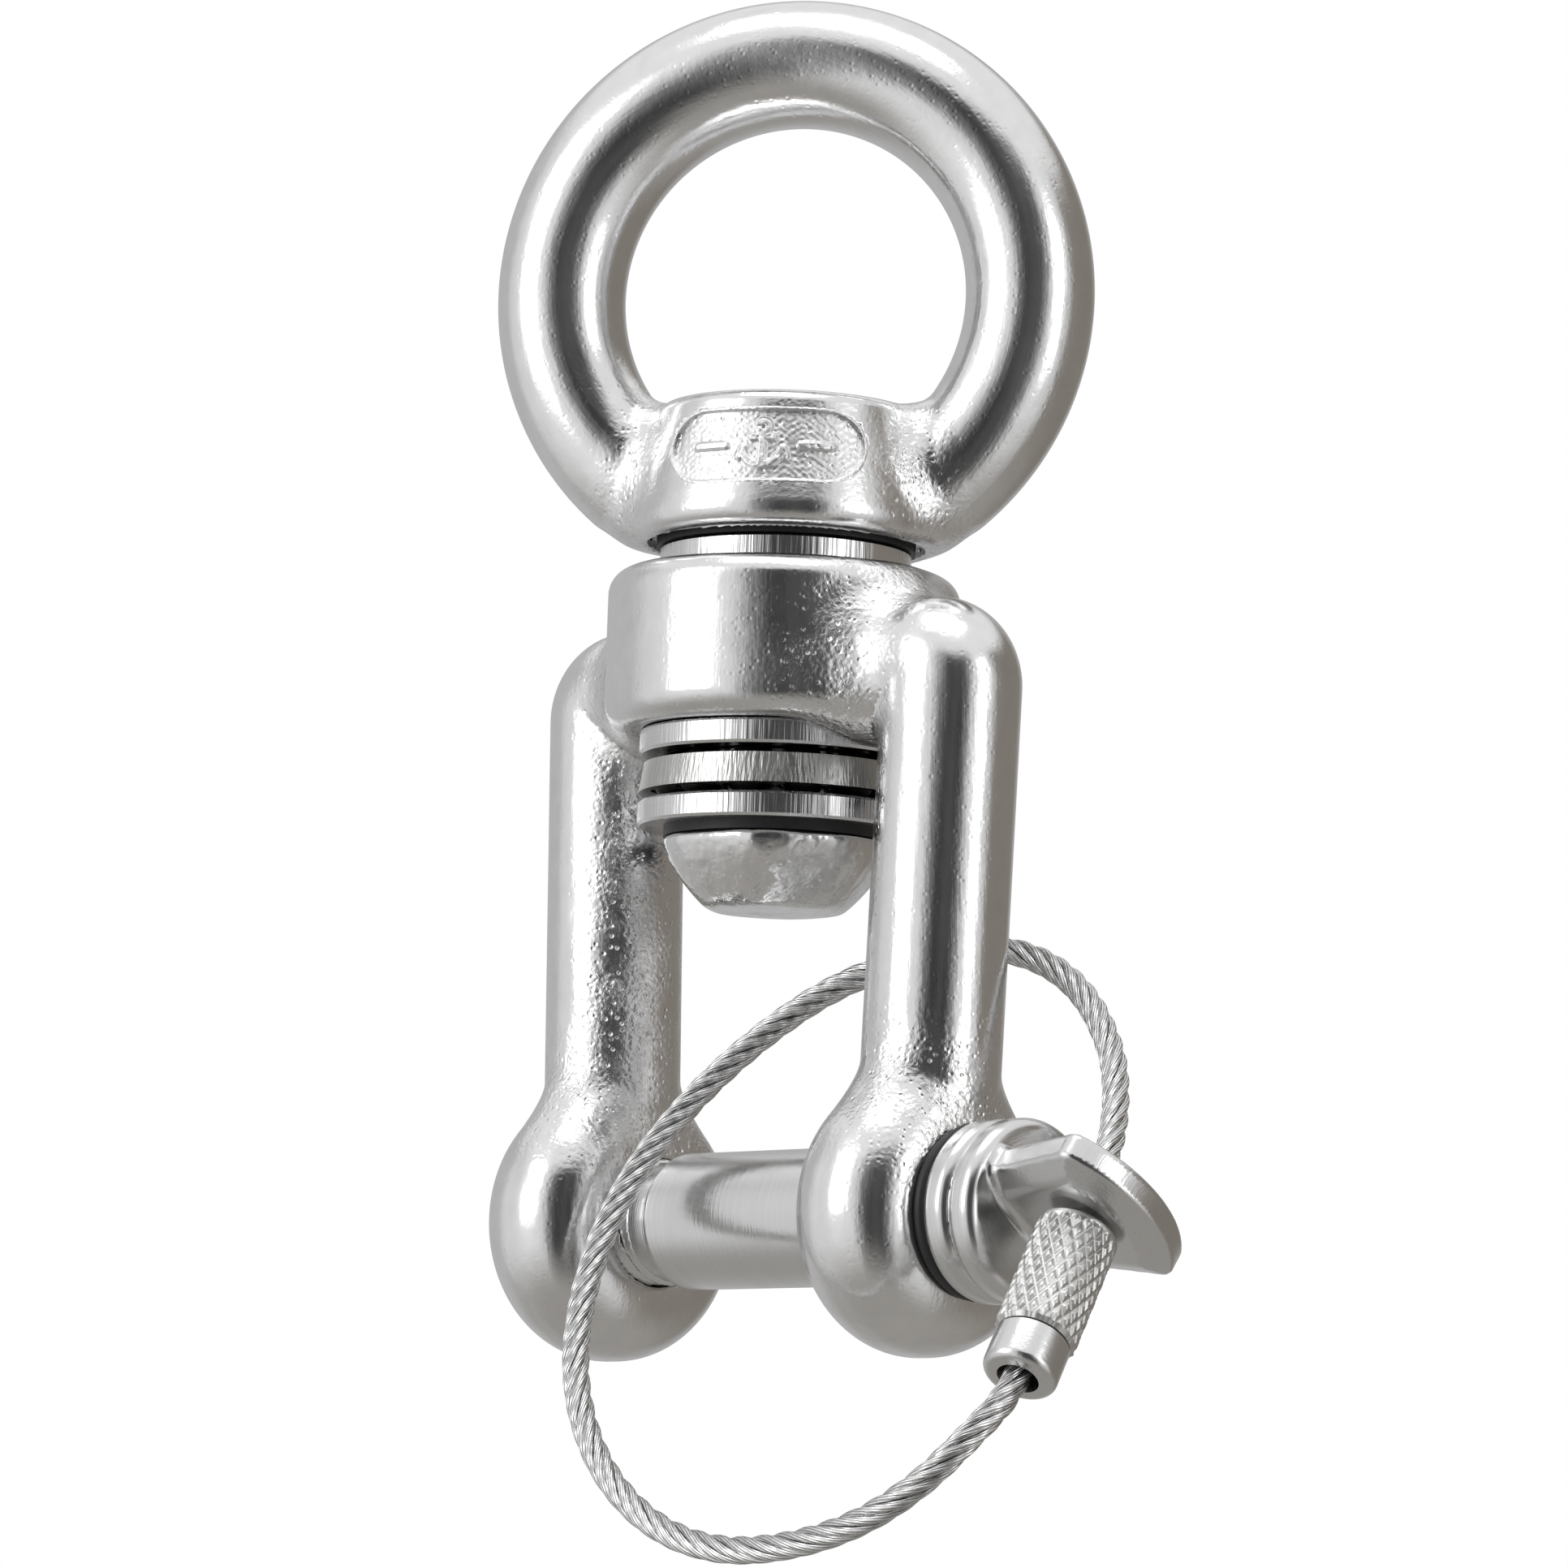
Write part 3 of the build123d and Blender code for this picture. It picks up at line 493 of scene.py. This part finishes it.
def turned(name, colour, roughness, scale, depth, axis="Z", streaks=0.0):
    """Turned steel: fine marks round the axis, depth deep, and streaks along it if asked."""
    made, tree, shader = material(name, 1, colour, roughness)
    where = add_node(tree, "ShaderNodeTexCoord").outputs["Object"]
    split = add_node(tree, "ShaderNodeSeparateXYZ", {0: where})
    x, y, z = split.outputs
    if axis == "X":
        x, y, z = y, calc(tree, "ADD", z, -PIN_Z * MM), x
    rho = calc(tree, "SQRT", calc(tree, "ADD", calc(tree, "MULTIPLY", x, x), calc(tree, "MULTIPLY", y, y)))
    rings = add_node(tree, "ShaderNodeCombineXYZ", {0: rho, 1: z})
    marks = noise(tree, rings.outputs[0], scale, 3)
    heights = [(marks, depth)]
    if streaks:
        lines = noise(tree, place(tree, (1, 1, 0.03)), 3400, 2)
        heights.append((lines, streaks))
    heights.append((noise(tree, place(tree), 1500, 3), depth * 0.5))
    bump(tree, shader, heights)
    worn = remap(tree, noise(tree, place(tree), 240, 4), 0.3, 0.7, roughness * 0.75, roughness * 1.3)
    tree.links.new(worn, shader.inputs["Roughness"])
    tint(tree, shader, marks, tuple(0.88 * c for c in colour), colour)
    return made


def rope_steel():
    """Drawn wires laid along each strand, from the strands' own UV map, with painted shade in the grooves
    between them.
    """
    made, tree, shader = material("wire_rope", 1, (0.72, 0.72, 0.72), 0.26)
    lay = add_node(tree, "ShaderNodeUVMap", uv_map="lay").outputs[0]
    phase = add_node(tree, "ShaderNodeSeparateXYZ", {0: lay}).outputs[0]
    wires = remap(tree, calc(tree, "SINE", calc(tree, "MULTIPLY", phase, tau)), -1, 0.6, 0, 1)
    bump(tree, shader, [(wires, 0.00005), (noise(tree, place(tree), 3000, 2), 0.00001)])
    # Painted shade: the base colour darkens from the wires' crowns into the grooves between them.
    tint(tree, shader, wires, (0.46, 0.46, 0.46), (0.88, 0.88, 0.88))
    worn = remap(tree, noise(tree, place(tree), 900, 3), 0.3, 0.7, 0.2, 0.36)
    tree.links.new(worn, shader.inputs["Roughness"])
    return made


def rubber():
    """Black nitrile with a fine uneven skin."""
    made, tree, shader = material("black_rubber", 0, (0.012, 0.012, 0.013), 0.5)
    where = place(tree)
    bump(tree, shader, [(noise(tree, where, 1800, 4), 0.00003)])
    tint(tree, shader, noise(tree, where, 700, 3), (0.006, 0.006, 0.007), (0.02, 0.02, 0.021))
    return made


POLISHED = polished("polished_steel", 0.0)
SATIN = polished("badge_steel", 0.13)
HAMMERED = polished("bolt_steel", -0.06, 0.00036)
TURNED = turned("turned_steel", (0.8, 0.8, 0.81), 0.18, 5200, 0.000006, streaks=0.000066)
CAGE = turned("cage_steel", (0.56, 0.56, 0.55), 0.3, 3800, 0.00001, streaks=0.00009)
# The balls' near-black base colour is painted shade: it stands in for the dark gap inside the bearing.
BALL_PAINTED_SHADE = turned("ball_steel", (0.05, 0.048, 0.045), 0.45, 2200, 0.000002)
BUSH = turned("bush_metal", (0.7, 0.52, 0.28), 0.3, 4200, 0.000008)
PIN = turned("pin_steel", (0.77, 0.77, 0.77), 0.21, 4200, 0.000016, axis="X")
KNURL = turned("knurled_steel", (0.68, 0.68, 0.67), 0.37, 3300, 0.00002)
ROPE = rope_steel()
RUBBER = rubber()


def finish_piece(piece, chosen, body, node):
    """Gives a piece its material and its body, and lets it stand for a CAD node."""
    piece.data.materials.append(chosen)
    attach(piece, body)
    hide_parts(node)


# The wire rope: strands round a core, along the route's own NURBS line. It comes out of the lanyard's
# ferrule, goes round the fork's right arm, and back through the tab's hole into the barrel.
LANYARD_AXIS = Vector((0.14, -0.57, -0.81)).normalized()
BARREL_TOP = Vector((TAB_X + TAB_HOLE_AT, 0, PIN_Z)) + LANYARD_AXIS * 2.6


def along(distance):
    """The point this far down the lanyard's axis from the barrel's top."""
    return BARREL_TOP + LANYARD_AXIS * distance


ROUTE = [
    along(13.5), along(18.0), (43.1, -15.6, -106.9), (39.9, -18.2, -111.2), (34.3, -19.8, -114.7),
    (26.7, -20.7, -116.8), (17.9, -21.2, -117.4), (9.6, -21.5, -115.3), (2.6, -21.4, -110.5),
    (-2.7, -20.0, -103.9), (-5.7, -17.6, -96.9), (-7.3, -13.9, -89.3), (-7.0, -9.6, -81.9),
    (-5.1, -4.7, -75.3), (-1.2, -0.2, -69.4), (4.5, 4.0, -64.4), (11.6, 7.9, -61.6),
    (19.6, 10.9, -60.8), (27.6, 11.8, -64.1), (34.5, 9.9, -70.8), (38.4, 6.5, -77.4),
    along(-7.2), along(4.2),
]
ROPE_R, CORE_R, STRANDS, STRAND_LAY = 1.25, 0.5, 6, 15.0
WIRES, WIRE_LAY = 8, 5.0
ROPE_STEP, STRAND_SIDES, CORE_SIDES = 0.3, 14, 8


def nurbs_line(route):
    """The points of the route's NURBS spline, in millimetres."""
    curve = bpy.data.curves.new("route", "CURVE")
    curve.dimensions = "3D"
    curve.resolution_u = 40
    spline = curve.splines.new("NURBS")
    spline.points.add(len(route) - 1)
    for point, place_mm in zip(spline.points, route):
        point.co = (*(Vector(place_mm) * MM), 1)
    spline.order_u = 3
    spline.use_endpoint_u = True
    holder = bpy.data.objects.new("route", curve)
    bpy.context.collection.objects.link(holder)
    bpy.context.view_layer.update()
    mesh = bpy.data.meshes.new_from_object(holder)
    line = np.array([v.co for v in mesh.vertices]) / MM
    bpy.data.objects.remove(holder)
    bpy.data.meshes.remove(mesh)
    return line


def frames_along(line, step):
    """Evenly spaced points along a line, after their distances, and before two directions across it.

    The directions turn with the line and don't twist round it.
    """
    lengths = np.concatenate([[0], np.cumsum(np.linalg.norm(np.diff(line, axis=0), axis=1))])
    count = int(lengths[-1] / step) + 1
    at = np.linspace(0, lengths[-1], count)
    points = np.stack([np.interp(at, lengths, line[:, i]) for i in range(3)], 1)
    tangents = np.gradient(points, axis=0)
    tangents /= np.linalg.norm(tangents, axis=1)[:, None]
    side = np.cross(tangents[0], [0, 0, 1.0])
    sides = []
    for tangent in tangents:
        side = side - tangent * (side @ tangent)
        side = side / np.linalg.norm(side)
        sides.append(side)
    sides = np.array(sides)
    return at, points, sides, np.cross(tangents, sides)


def tube(centres, across, up, radius, segments):
    """Points and faces of a closed tube round a line, with a cap at each end."""
    angles = np.arange(segments) * tau / segments
    ring = np.cos(angles)[None, :, None] * across[:, None] + np.sin(angles)[None, :, None] * up[:, None]
    points = (centres[:, None] + radius * ring).reshape(-1, 3)
    row, column = np.meshgrid(np.arange(len(centres) - 1), np.arange(segments), indexing="ij")
    start, end, after = row * segments, (row + 1) * segments, (column + 1) % segments
    quads = np.stack([start + column, start + after, end + after, end + column], -1)
    faces = quads.reshape(-1, 4).tolist()
    faces.append(list(range(segments))[::-1])
    faces.append([(len(centres) - 1) * segments + n for n in range(segments)])
    return points, faces


rope_line = nurbs_line(ROUTE)
at, centres, sides, ups = frames_along(rope_line, ROPE_STEP)
strand_r = ROPE_R / 3
row, column = np.meshgrid(np.arange(len(at) - 1), np.arange(STRAND_SIDES), indexing="ij")
wire_phase = [(column + b) / STRAND_SIDES * WIRES - at[row + a] / WIRE_LAY
              for a, b in ((0, 0), (0, 1), (1, 1), (1, 0))]
strand_lay = np.concatenate([np.stack(wire_phase, -1).reshape(-1), np.zeros(2 * STRAND_SIDES)])
points, faces, lay = [], [], []
for strand in range(STRANDS):
    turn = tau * (at / STRAND_LAY + strand / STRANDS)
    out = np.cos(turn)[:, None] * sides + np.sin(turn)[:, None] * ups
    onward = -np.sin(turn)[:, None] * sides + np.cos(turn)[:, None] * ups
    strand_points, strand_faces = tube(centres + 2 * strand_r * out, out, onward, strand_r, STRAND_SIDES)
    faces += [[len(points) * len(strand_points) + n for n in face] for face in strand_faces]
    points.append(strand_points)
    lay.append(strand_lay)
core_points, core_faces = tube(centres, sides, ups, CORE_R, CORE_SIDES)
core_start = sum(map(len, points))
faces += [[core_start + n for n in face] for face in core_faces]
lay.append(np.zeros(sum(map(len, core_faces))))
rope = mesh_object("wire_rope", np.concatenate(points + [core_points]), faces)
lay = np.concatenate(lay)
lay_map = rope.data.uv_layers.new(name="lay")
lay_map.data.foreach_set("uv", np.stack([lay, np.zeros_like(lay)], 1).reshape(-1).astype(np.float32))
rope.data.materials.append(ROPE)
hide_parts("lanyard_cable")


# Forgings, bolt and pin: the skins of their shapes, each inside its box
EYE_CELL, FORK_CELL, FINE_CELL = 0.42, 0.45, 0.3
points, faces, normals = skin(eye_shape, (-25, -22, -25.5), (25, 22, 29.0), EYE_CELL)
eye = mesh_object("eye_skin", points, faces, normals)
set_attribute(eye, "unpolished", eye_unpolished(points))
set_attribute(eye, "brushed", eye_brushing(points))
finish_piece(eye, POLISHED, "eye", "eye_forging")

points, faces, normals = skin(fork_shape, (-29.6, -17.4, -100.2), (29.6, 17.4, -25.5), FORK_CELL)
fork = mesh_object("fork_skin", points, faces, normals)
set_attribute(fork, "unpolished", fork_unpolished(points))
set_attribute(fork, "brushed", long_brushing(points))
finish_piece(fork, POLISHED, "fork", "fork_body")

points, faces, normals = skin(bolt_shape, (-11.6, -11.6, -58.6), (11.6, 11.6, -8.2), FINE_CELL)
bolt = mesh_object("bolt_skin", points, faces, normals)
set_attribute(bolt, "unpolished", 0.25 * fade(-points[:, 2], 52, 3))
finish_piece(bolt, HAMMERED, "eye", "swivel_bolt")

points, faces, normals = skin(pin_shape, (-29.0, -9.6, PIN_Z - 9.6), (49.6, 9.6, PIN_Z + 9.6), FINE_CELL)
pin = mesh_object("pin_skin", points, faces, normals)
finish_piece(pin, PIN, "pin", "clevis_pin")


# Badge: a pebbled plate with a small raised anchor, whose lip covers the edge of the collar's pocket.
# across and up are the plate's own coordinates, wrapped round the collar.
BADGE_LIP, BADGE_ROWS, BADGE_COLUMNS = 0.4, 321, 131
PEBBLE_WAVES, PEBBLE_DEPTH, PEBBLE_RATES = 36, 0.013, (7, 15)
MOTIF_LINES = [((0, 1.1), (0, -1.9)), ((-0.95, 0.75), (0.95, 0.75)), ((-1.9, -0.4), (-2.15, -1.1)),
               ((1.9, -0.4), (2.15, -1.1)), ((-6.2, 0), (-3.6, 0)), ((3.6, 0), (6.2, 0))]
MOTIF_HEIGHT, MOTIF_HALF_WIDTH, MOTIF_SIDE = 0.36, 0.50, 0.24
SHACKLE_UP, SHACKLE_R, CROWN_TOP, CROWN_R = 1.7, 0.5, -0.4, 1.95
PLATE_THICKNESS, PLATE_LIFT = 0.3, 0.06
LIP_RISE, LIP_FALL = (-0.2, 0.22), (0.12, 0.28)
LIP_BELOW_COLLAR, LIP_DROP = 0.03, 0.2


def line_distance(across, up, a, b):
    """Distance from the line between two points."""
    a, b = np.array(a), np.array(b)
    d = b - a
    share = np.clip(((across - a[0]) * d[0] + (up - a[1]) * d[1]) / (d @ d), 0, 1)
    return np.hypot(across - a[0] - share * d[0], up - a[1] - share * d[1])


def motif(across, up):
    """Distance from the lines of a plain anchor with a bar on each side."""
    lines = np.min([line_distance(across, up, a, b) for a, b in MOTIF_LINES], axis=0)
    shackle = abs(np.hypot(across, up - SHACKLE_UP) - SHACKLE_R)
    crown = np.where(up < CROWN_TOP, abs(np.hypot(across, up) - CROWN_R), FAR)
    return np.minimum(lines, np.minimum(shackle, crown))


across, up = np.meshgrid(np.linspace(-1, 1, BADGE_ROWS) * (BADGE_HALF_LENGTH + BADGE_LIP),
                         np.linspace(-1, 1, BADGE_COLUMNS) * (BADGE_HALF_HEIGHT + BADGE_LIP), indexing="ij")
straight = BADGE_HALF_LENGTH - BADGE_HALF_HEIGHT
reach = np.hypot(np.maximum(abs(across) - straight, 0), up)
squeeze = np.minimum(1, (BADGE_HALF_HEIGHT + BADGE_LIP) / np.maximum(reach, 1e-6))
rounded = np.sign(across) * (straight + (abs(across) - straight) * squeeze)
across = np.where(abs(across) > straight, rounded, across)
up = up * squeeze

rng = np.random.default_rng(7)
rates, directions, phases = (rng.uniform(low, high, PEBBLE_WAVES)
                             for low, high in (PEBBLE_RATES, (0, tau), (0, tau)))
pebbles = sum(np.sin(rate * (across * cos(direction) + up * sin(direction)) + phase)
              for rate, direction, phase in zip(rates, directions, phases)) / PEBBLE_WAVES ** 0.5
raised = np.clip((MOTIF_HALF_WIDTH - motif(across, up)) / MOTIF_SIDE, 0, 1)
rim = np.hypot(np.maximum(abs(across) - straight, 0), up) - BADGE_HALF_HEIGHT
rising, falling = fade(rim, *LIP_RISE), fade(rim, *LIP_FALL)
lip = (BADGE_DEPTH - LIP_BELOW_COLLAR) * rising ** 2 * (3 - 2 * rising) - LIP_DROP * falling ** 2
height = PEBBLE_DEPTH * pebbles + MOTIF_HEIGHT * raised + lip
badge_z = BADGE_Z + up
badge_rho = COLLAR_TOP_R + (COLLAR_TOP_Z - badge_z) * COLLAR_SLOPE - BADGE_DEPTH + PLATE_LIFT


def badge_sheet(lift):
    """The plate's points, this far out from the pocket's floor."""
    out = np.sqrt(np.maximum((badge_rho + lift) ** 2 - across ** 2, 0))
    level = across[..., None] * EYE_ACROSS + out[..., None] * EYE_NORMAL
    return (level + badge_z[..., None] * np.array([0, 0, 1])).reshape(-1, 3)


index = np.arange(BADGE_ROWS * BADGE_COLUMNS).reshape(BADGE_ROWS, BADGE_COLUMNS)
top = np.stack([index[:-1, :-1], index[1:, :-1], index[1:, 1:], index[:-1, 1:]], -1).reshape(-1, 4)
edge = np.concatenate([index[:, 0], index[-1, 1:], index[-2::-1, -1], index[0, -2:0:-1]])
after = np.roll(edge, -1)
walls = np.stack([after, edge, edge + index.size, after + index.size], 1)
faces = np.concatenate([top, top[:, ::-1] + index.size, walls])
sheets = [badge_sheet(height), badge_sheet(-PLATE_THICKNESS)]
badge = mesh_object("badge_floor", np.concatenate(sheets), faces)
badge.data.set_sharp_from_angle(angle=radians(60))
set_attribute(badge, "unpolished", np.full(len(badge.data.vertices), 0.5))
badge.data.materials.append(SATIN)
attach(badge, "eye")


# Lanyard barrel and ferrule, turned about the lanyard's axis
LATHE_SIDE = LANYARD_AXIS.cross(Vector((0, 0, 1))).normalized()
LATHE_UP = LANYARD_AXIS.cross(LATHE_SIDE)


def lathe(name, profile, segments, knurl=None):
    """A closed ring of (distance along the lanyard, radius) points turned about its axis."""
    angles = np.arange(segments) * tau / segments
    side, up, axis = (np.array(v) for v in (LATHE_SIDE, LATHE_UP, LANYARD_AXIS))
    ring = np.cos(angles)[:, None] * side + np.sin(angles)[:, None] * up
    points = []
    for distance, radius in profile:
        radii = np.full(segments, radius) + (knurl(distance, radius, angles) if knurl else 0)
        points.append(np.array(BARREL_TOP) + axis * distance + ring * radii[:, None])
    here = np.arange(len(profile) * segments).reshape(len(profile), segments)
    following = np.roll(here, -1, axis=0)
    quads = np.stack([here, following, np.roll(following, -1, axis=1), np.roll(here, -1, axis=1)], -1)
    piece = mesh_object(name, np.concatenate(points), quads.reshape(-1, 4))
    piece.data.set_sharp_from_angle(angle=radians(38))
    return piece


BARREL_R, BARREL_END_R, BARREL_LENGTH, BARREL_CHAMFER = 3.75, 3.35, 12.2, 0.4
BARREL_MOUTH_R, BARREL_BORE_R, BARREL_BORE_START = 1.6, 2.62, 7.0
BARREL_SEGMENTS, BARREL_RINGS = 240, 118
KNURL_COUNT, KNURL_PITCH, KNURL_DEPTH, KNURL_WIDTH = 20, 2.2, 0.25, 0.75
KNURL_START, KNURL_END, KNURL_FADE = 0.7, 12.0, 0.3


def knurling(distance, radius, angles):
    """Two crossed sets of round-edged grooves, fading out at the barrel's ends."""
    if radius < BARREL_R:
        return np.zeros_like(angles)
    a = (angles / tau * KNURL_COUNT + distance / KNURL_PITCH) % 1
    b = (angles / tau * KNURL_COUNT - distance / KNURL_PITCH) % 1
    groove = np.minimum(abs(a - 0.5), abs(b - 0.5)) * 2
    ends = min(fade(distance, KNURL_START, KNURL_FADE), fade(-distance, -KNURL_END, KNURL_FADE))
    depth = np.clip(1 - groove / KNURL_WIDTH, 0, 1)
    return -KNURL_DEPTH * depth ** 2 * (3 - 2 * depth) * ends


barrel_top = [(0, BARREL_MOUTH_R), (0, BARREL_END_R)]
barrel_side = [(distance, BARREL_R)
               for distance in np.linspace(BARREL_CHAMFER, BARREL_LENGTH - BARREL_CHAMFER, BARREL_RINGS)]
barrel_bore = [(BARREL_LENGTH, BARREL_END_R), (BARREL_LENGTH, BARREL_BORE_R),
               (BARREL_BORE_START, BARREL_BORE_R), (BARREL_BORE_START, BARREL_MOUTH_R)]
barrel = lathe("barrel_knurled", barrel_top + barrel_side + barrel_bore, BARREL_SEGMENTS, knurling)
finish_piece(barrel, KNURL, "barrel", "lanyard_barrel")

CAP_START, CAP_END, CAP_R, CAP_SHOULDER_R = 12.3, 16.5, 3.4, 0.8
CAP_CHAMFER_DEPTH, CAP_CHAMFER_LENGTH, SHOULDER_POINTS, FERRULE_SEGMENTS = 0.15, 0.12, 9, 96
STUD_START, STUD_R, STUD_CHAMFER = 7.8, 2.5, 0.1
FERRULE_BORE_R, FERRULE_MOUTH_R, FERRULE_FLARE_START = 1.56, 1.92, 14.5
shoulder = [(CAP_END - CAP_SHOULDER_R * (1 - sin(angle)), CAP_R - CAP_SHOULDER_R * (1 - cos(angle)))
            for angle in np.linspace(0, pi / 2, SHOULDER_POINTS)]
stud = [(STUD_START, STUD_R - STUD_CHAMFER), (STUD_START + STUD_CHAMFER, STUD_R), (CAP_START, STUD_R)]
cap = [(CAP_START, CAP_R - CAP_CHAMFER_DEPTH), (CAP_START + CAP_CHAMFER_LENGTH, CAP_R)] + shoulder
bore = [(CAP_END, FERRULE_MOUTH_R), (FERRULE_FLARE_START, FERRULE_BORE_R), (STUD_START, FERRULE_BORE_R)]
ferrule = lathe("ferrule_turned", stud + cap + bore, FERRULE_SEGMENTS)
finish_piece(ferrule, PIN, "ferrule", "lanyard_ferrule")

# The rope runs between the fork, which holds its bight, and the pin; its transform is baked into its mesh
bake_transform(rope)


# CAD pieces that keep their shape get their materials
KEPT = {
    "collar_seal": RUBBER, "spacer_ring": TURNED, "boss_bush": BUSH,
    "bearing_upper_washer": TURNED, "bearing_lower_washer": TURNED, "bearing_cage": CAGE,
    "bearing_balls": BALL_PAINTED_SHADE, "head_washer": RUBBER, "pin_o_ring": RUBBER, "cable_stop": PIN,
}
for node, chosen in KEPT.items():
    for material_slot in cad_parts[node].material_slots:
        material_slot.material = chosen


# Floor, world and lights
FLOOR_HALF, FLOOR_Z = 3, -0.16
floor_mesh = bpy.data.meshes.new("floor")
corners = [(x * FLOOR_HALF, y * FLOOR_HALF, FLOOR_Z) for x, y in ((-1, -1), (1, -1), (1, 1), (-1, 1))]
floor_mesh.from_pydata(corners, [], [(0, 1, 2, 3)])
floor = bpy.data.objects.new("floor", floor_mesh)
bpy.context.collection.objects.link(floor)
paper, paper_tree, paper_shader = material("floor_paper", 0, (0.92, 0.92, 0.92), 0.8)
clouds = noise(paper_tree, place(paper_tree), 3, 3)
tint(paper_tree, paper_shader, clouds, (0.91, 0.91, 0.91), (0.94, 0.94, 0.94))
floor.data.materials.append(paper)
floor.visible_glossy = False

world = bpy.data.worlds.new("studio")
bpy.context.scene.world = world
world.use_nodes = True
tree = world.node_tree
tree.nodes.clear()
ray = add_node(tree, "ShaderNodeTexCoord").outputs["Generated"]


def dot(vector):
    """How far a ray points along a direction, from -1 to 1."""
    values = {0: ray, 1: tuple(vector)}
    return add_node(tree, "ShaderNodeVectorMath", values, operation="DOT_PRODUCT").outputs["Value"]


def ramp(value, stops):
    """Grey levels, or colours, at places from 0 to 1."""
    made = add_node(tree, "ShaderNodeValToRGB", {0: value})
    made.color_ramp.interpolation = "EASE"
    for n, (position, colour) in enumerate(stops):
        element = made.color_ramp.elements[n] if n < 2 else made.color_ramp.elements.new(position)
        element.position = position
        element.color = (*colour, 1) if isinstance(colour, tuple) else (colour, colour, colour, 1)
    return made.outputs[0]


azimuth = calc(tree, "ARCTAN2", dot(camera_right), dot(towards_camera))
turn = calc(tree, "ADD", calc(tree, "MULTIPLY", azimuth, 1 / tau), 0.5)
WARM = (0.27, 0.245, 0.215)
DOWN, UP = (0.40, 0.385, 0.36), (1.0, 1.0, 1.0)
WORLD_STRENGTH = 0.89
# Greys of the studio's walls, by degrees to the right of the direction towards the camera
WALLS = [
    (-180, 0.55), (-116, 0.60), (-100, 0.84), (-62, 0.98), (-34, 0.90), (-20, 0.18), (-8, 0.045), (6, 0.085),
    (16, 0.045), (26, 0.24), (37, 0.92), (66, 0.80), (82, WARM), (142, WARM), (162, 0.48), (180, 0.55),
]
walls_seen = ramp(turn, [(degrees / 360 + 0.5, colour) for degrees, colour in WALLS])
lift = dot((0, 0, 1))
above = calc(tree, "MULTIPLY", calc(tree, "ADD", lift, 1.0), 0.5)


def rise(degrees):
    """A direction's place on the up and down ramps, from its angle above level."""
    return 0.5 + 0.5 * sin(radians(degrees))


up_share = ramp(above, [(rise(30), 0.0), (rise(44), 1.0)])
down_share = ramp(above, [(rise(-58), 1.0), (rise(-14), 0.0)])
lit = add_node(tree, "ShaderNodeMix", {0: up_share, 6: walls_seen, 7: (*UP, 1)}, data_type="RGBA").outputs[2]
lit = add_node(tree, "ShaderNodeMix", {0: down_share, 6: lit, 7: (*DOWN, 1)}, data_type="RGBA").outputs[2]
studio = add_node(tree, "ShaderNodeBackground", {"Color": lit, "Strength": WORLD_STRENGTH})
white = add_node(tree, "ShaderNodeBackground", {"Color": (1, 1, 1, 1), "Strength": 1.0})
seen = add_node(tree, "ShaderNodeLightPath").outputs["Is Camera Ray"]
shown = add_node(tree, "ShaderNodeMixShader", {0: seen, 1: studio.outputs[0], 2: white.outputs[0]})
add_node(tree, "ShaderNodeOutputWorld", {"Surface": shown.outputs[0]})


OBJECT_MIDDLE = Vector((0, 0, -0.045))


def area_light(name, azimuth_degrees, elevation_degrees, distance, size, power):
    """A soft light at an azimuth to the camera's right, aimed at the object's middle."""
    a, e = radians(azimuth_degrees), radians(elevation_degrees)
    direction = (towards_camera * cos(a) + camera_right * sin(a)) * cos(e) + Vector((0, 0, sin(e)))
    light = bpy.data.objects.new(name, bpy.data.lights.new(name, "AREA"))
    light.data.shape = "RECTANGLE"
    light.data.size, light.data.size_y = size
    light.data.energy = power
    aim = direction.to_track_quat("Z", "Y").to_matrix().to_4x4()
    light.matrix_world = Matrix.Translation(OBJECT_MIDDLE + direction * distance) @ aim
    light.visible_camera = False
    bpy.context.collection.objects.link(light)


area_light("key_left", -62, 18, 1.1, (0.55, 0.8), 3)
area_light("fill_right", 52, 12, 1.2, (0.3, 0.8), 1.5)
area_light("top", -20, 78, 1.1, (0.8, 0.5), 2.5)

bpy.context.scene.view_settings.view_transform = "Standard"
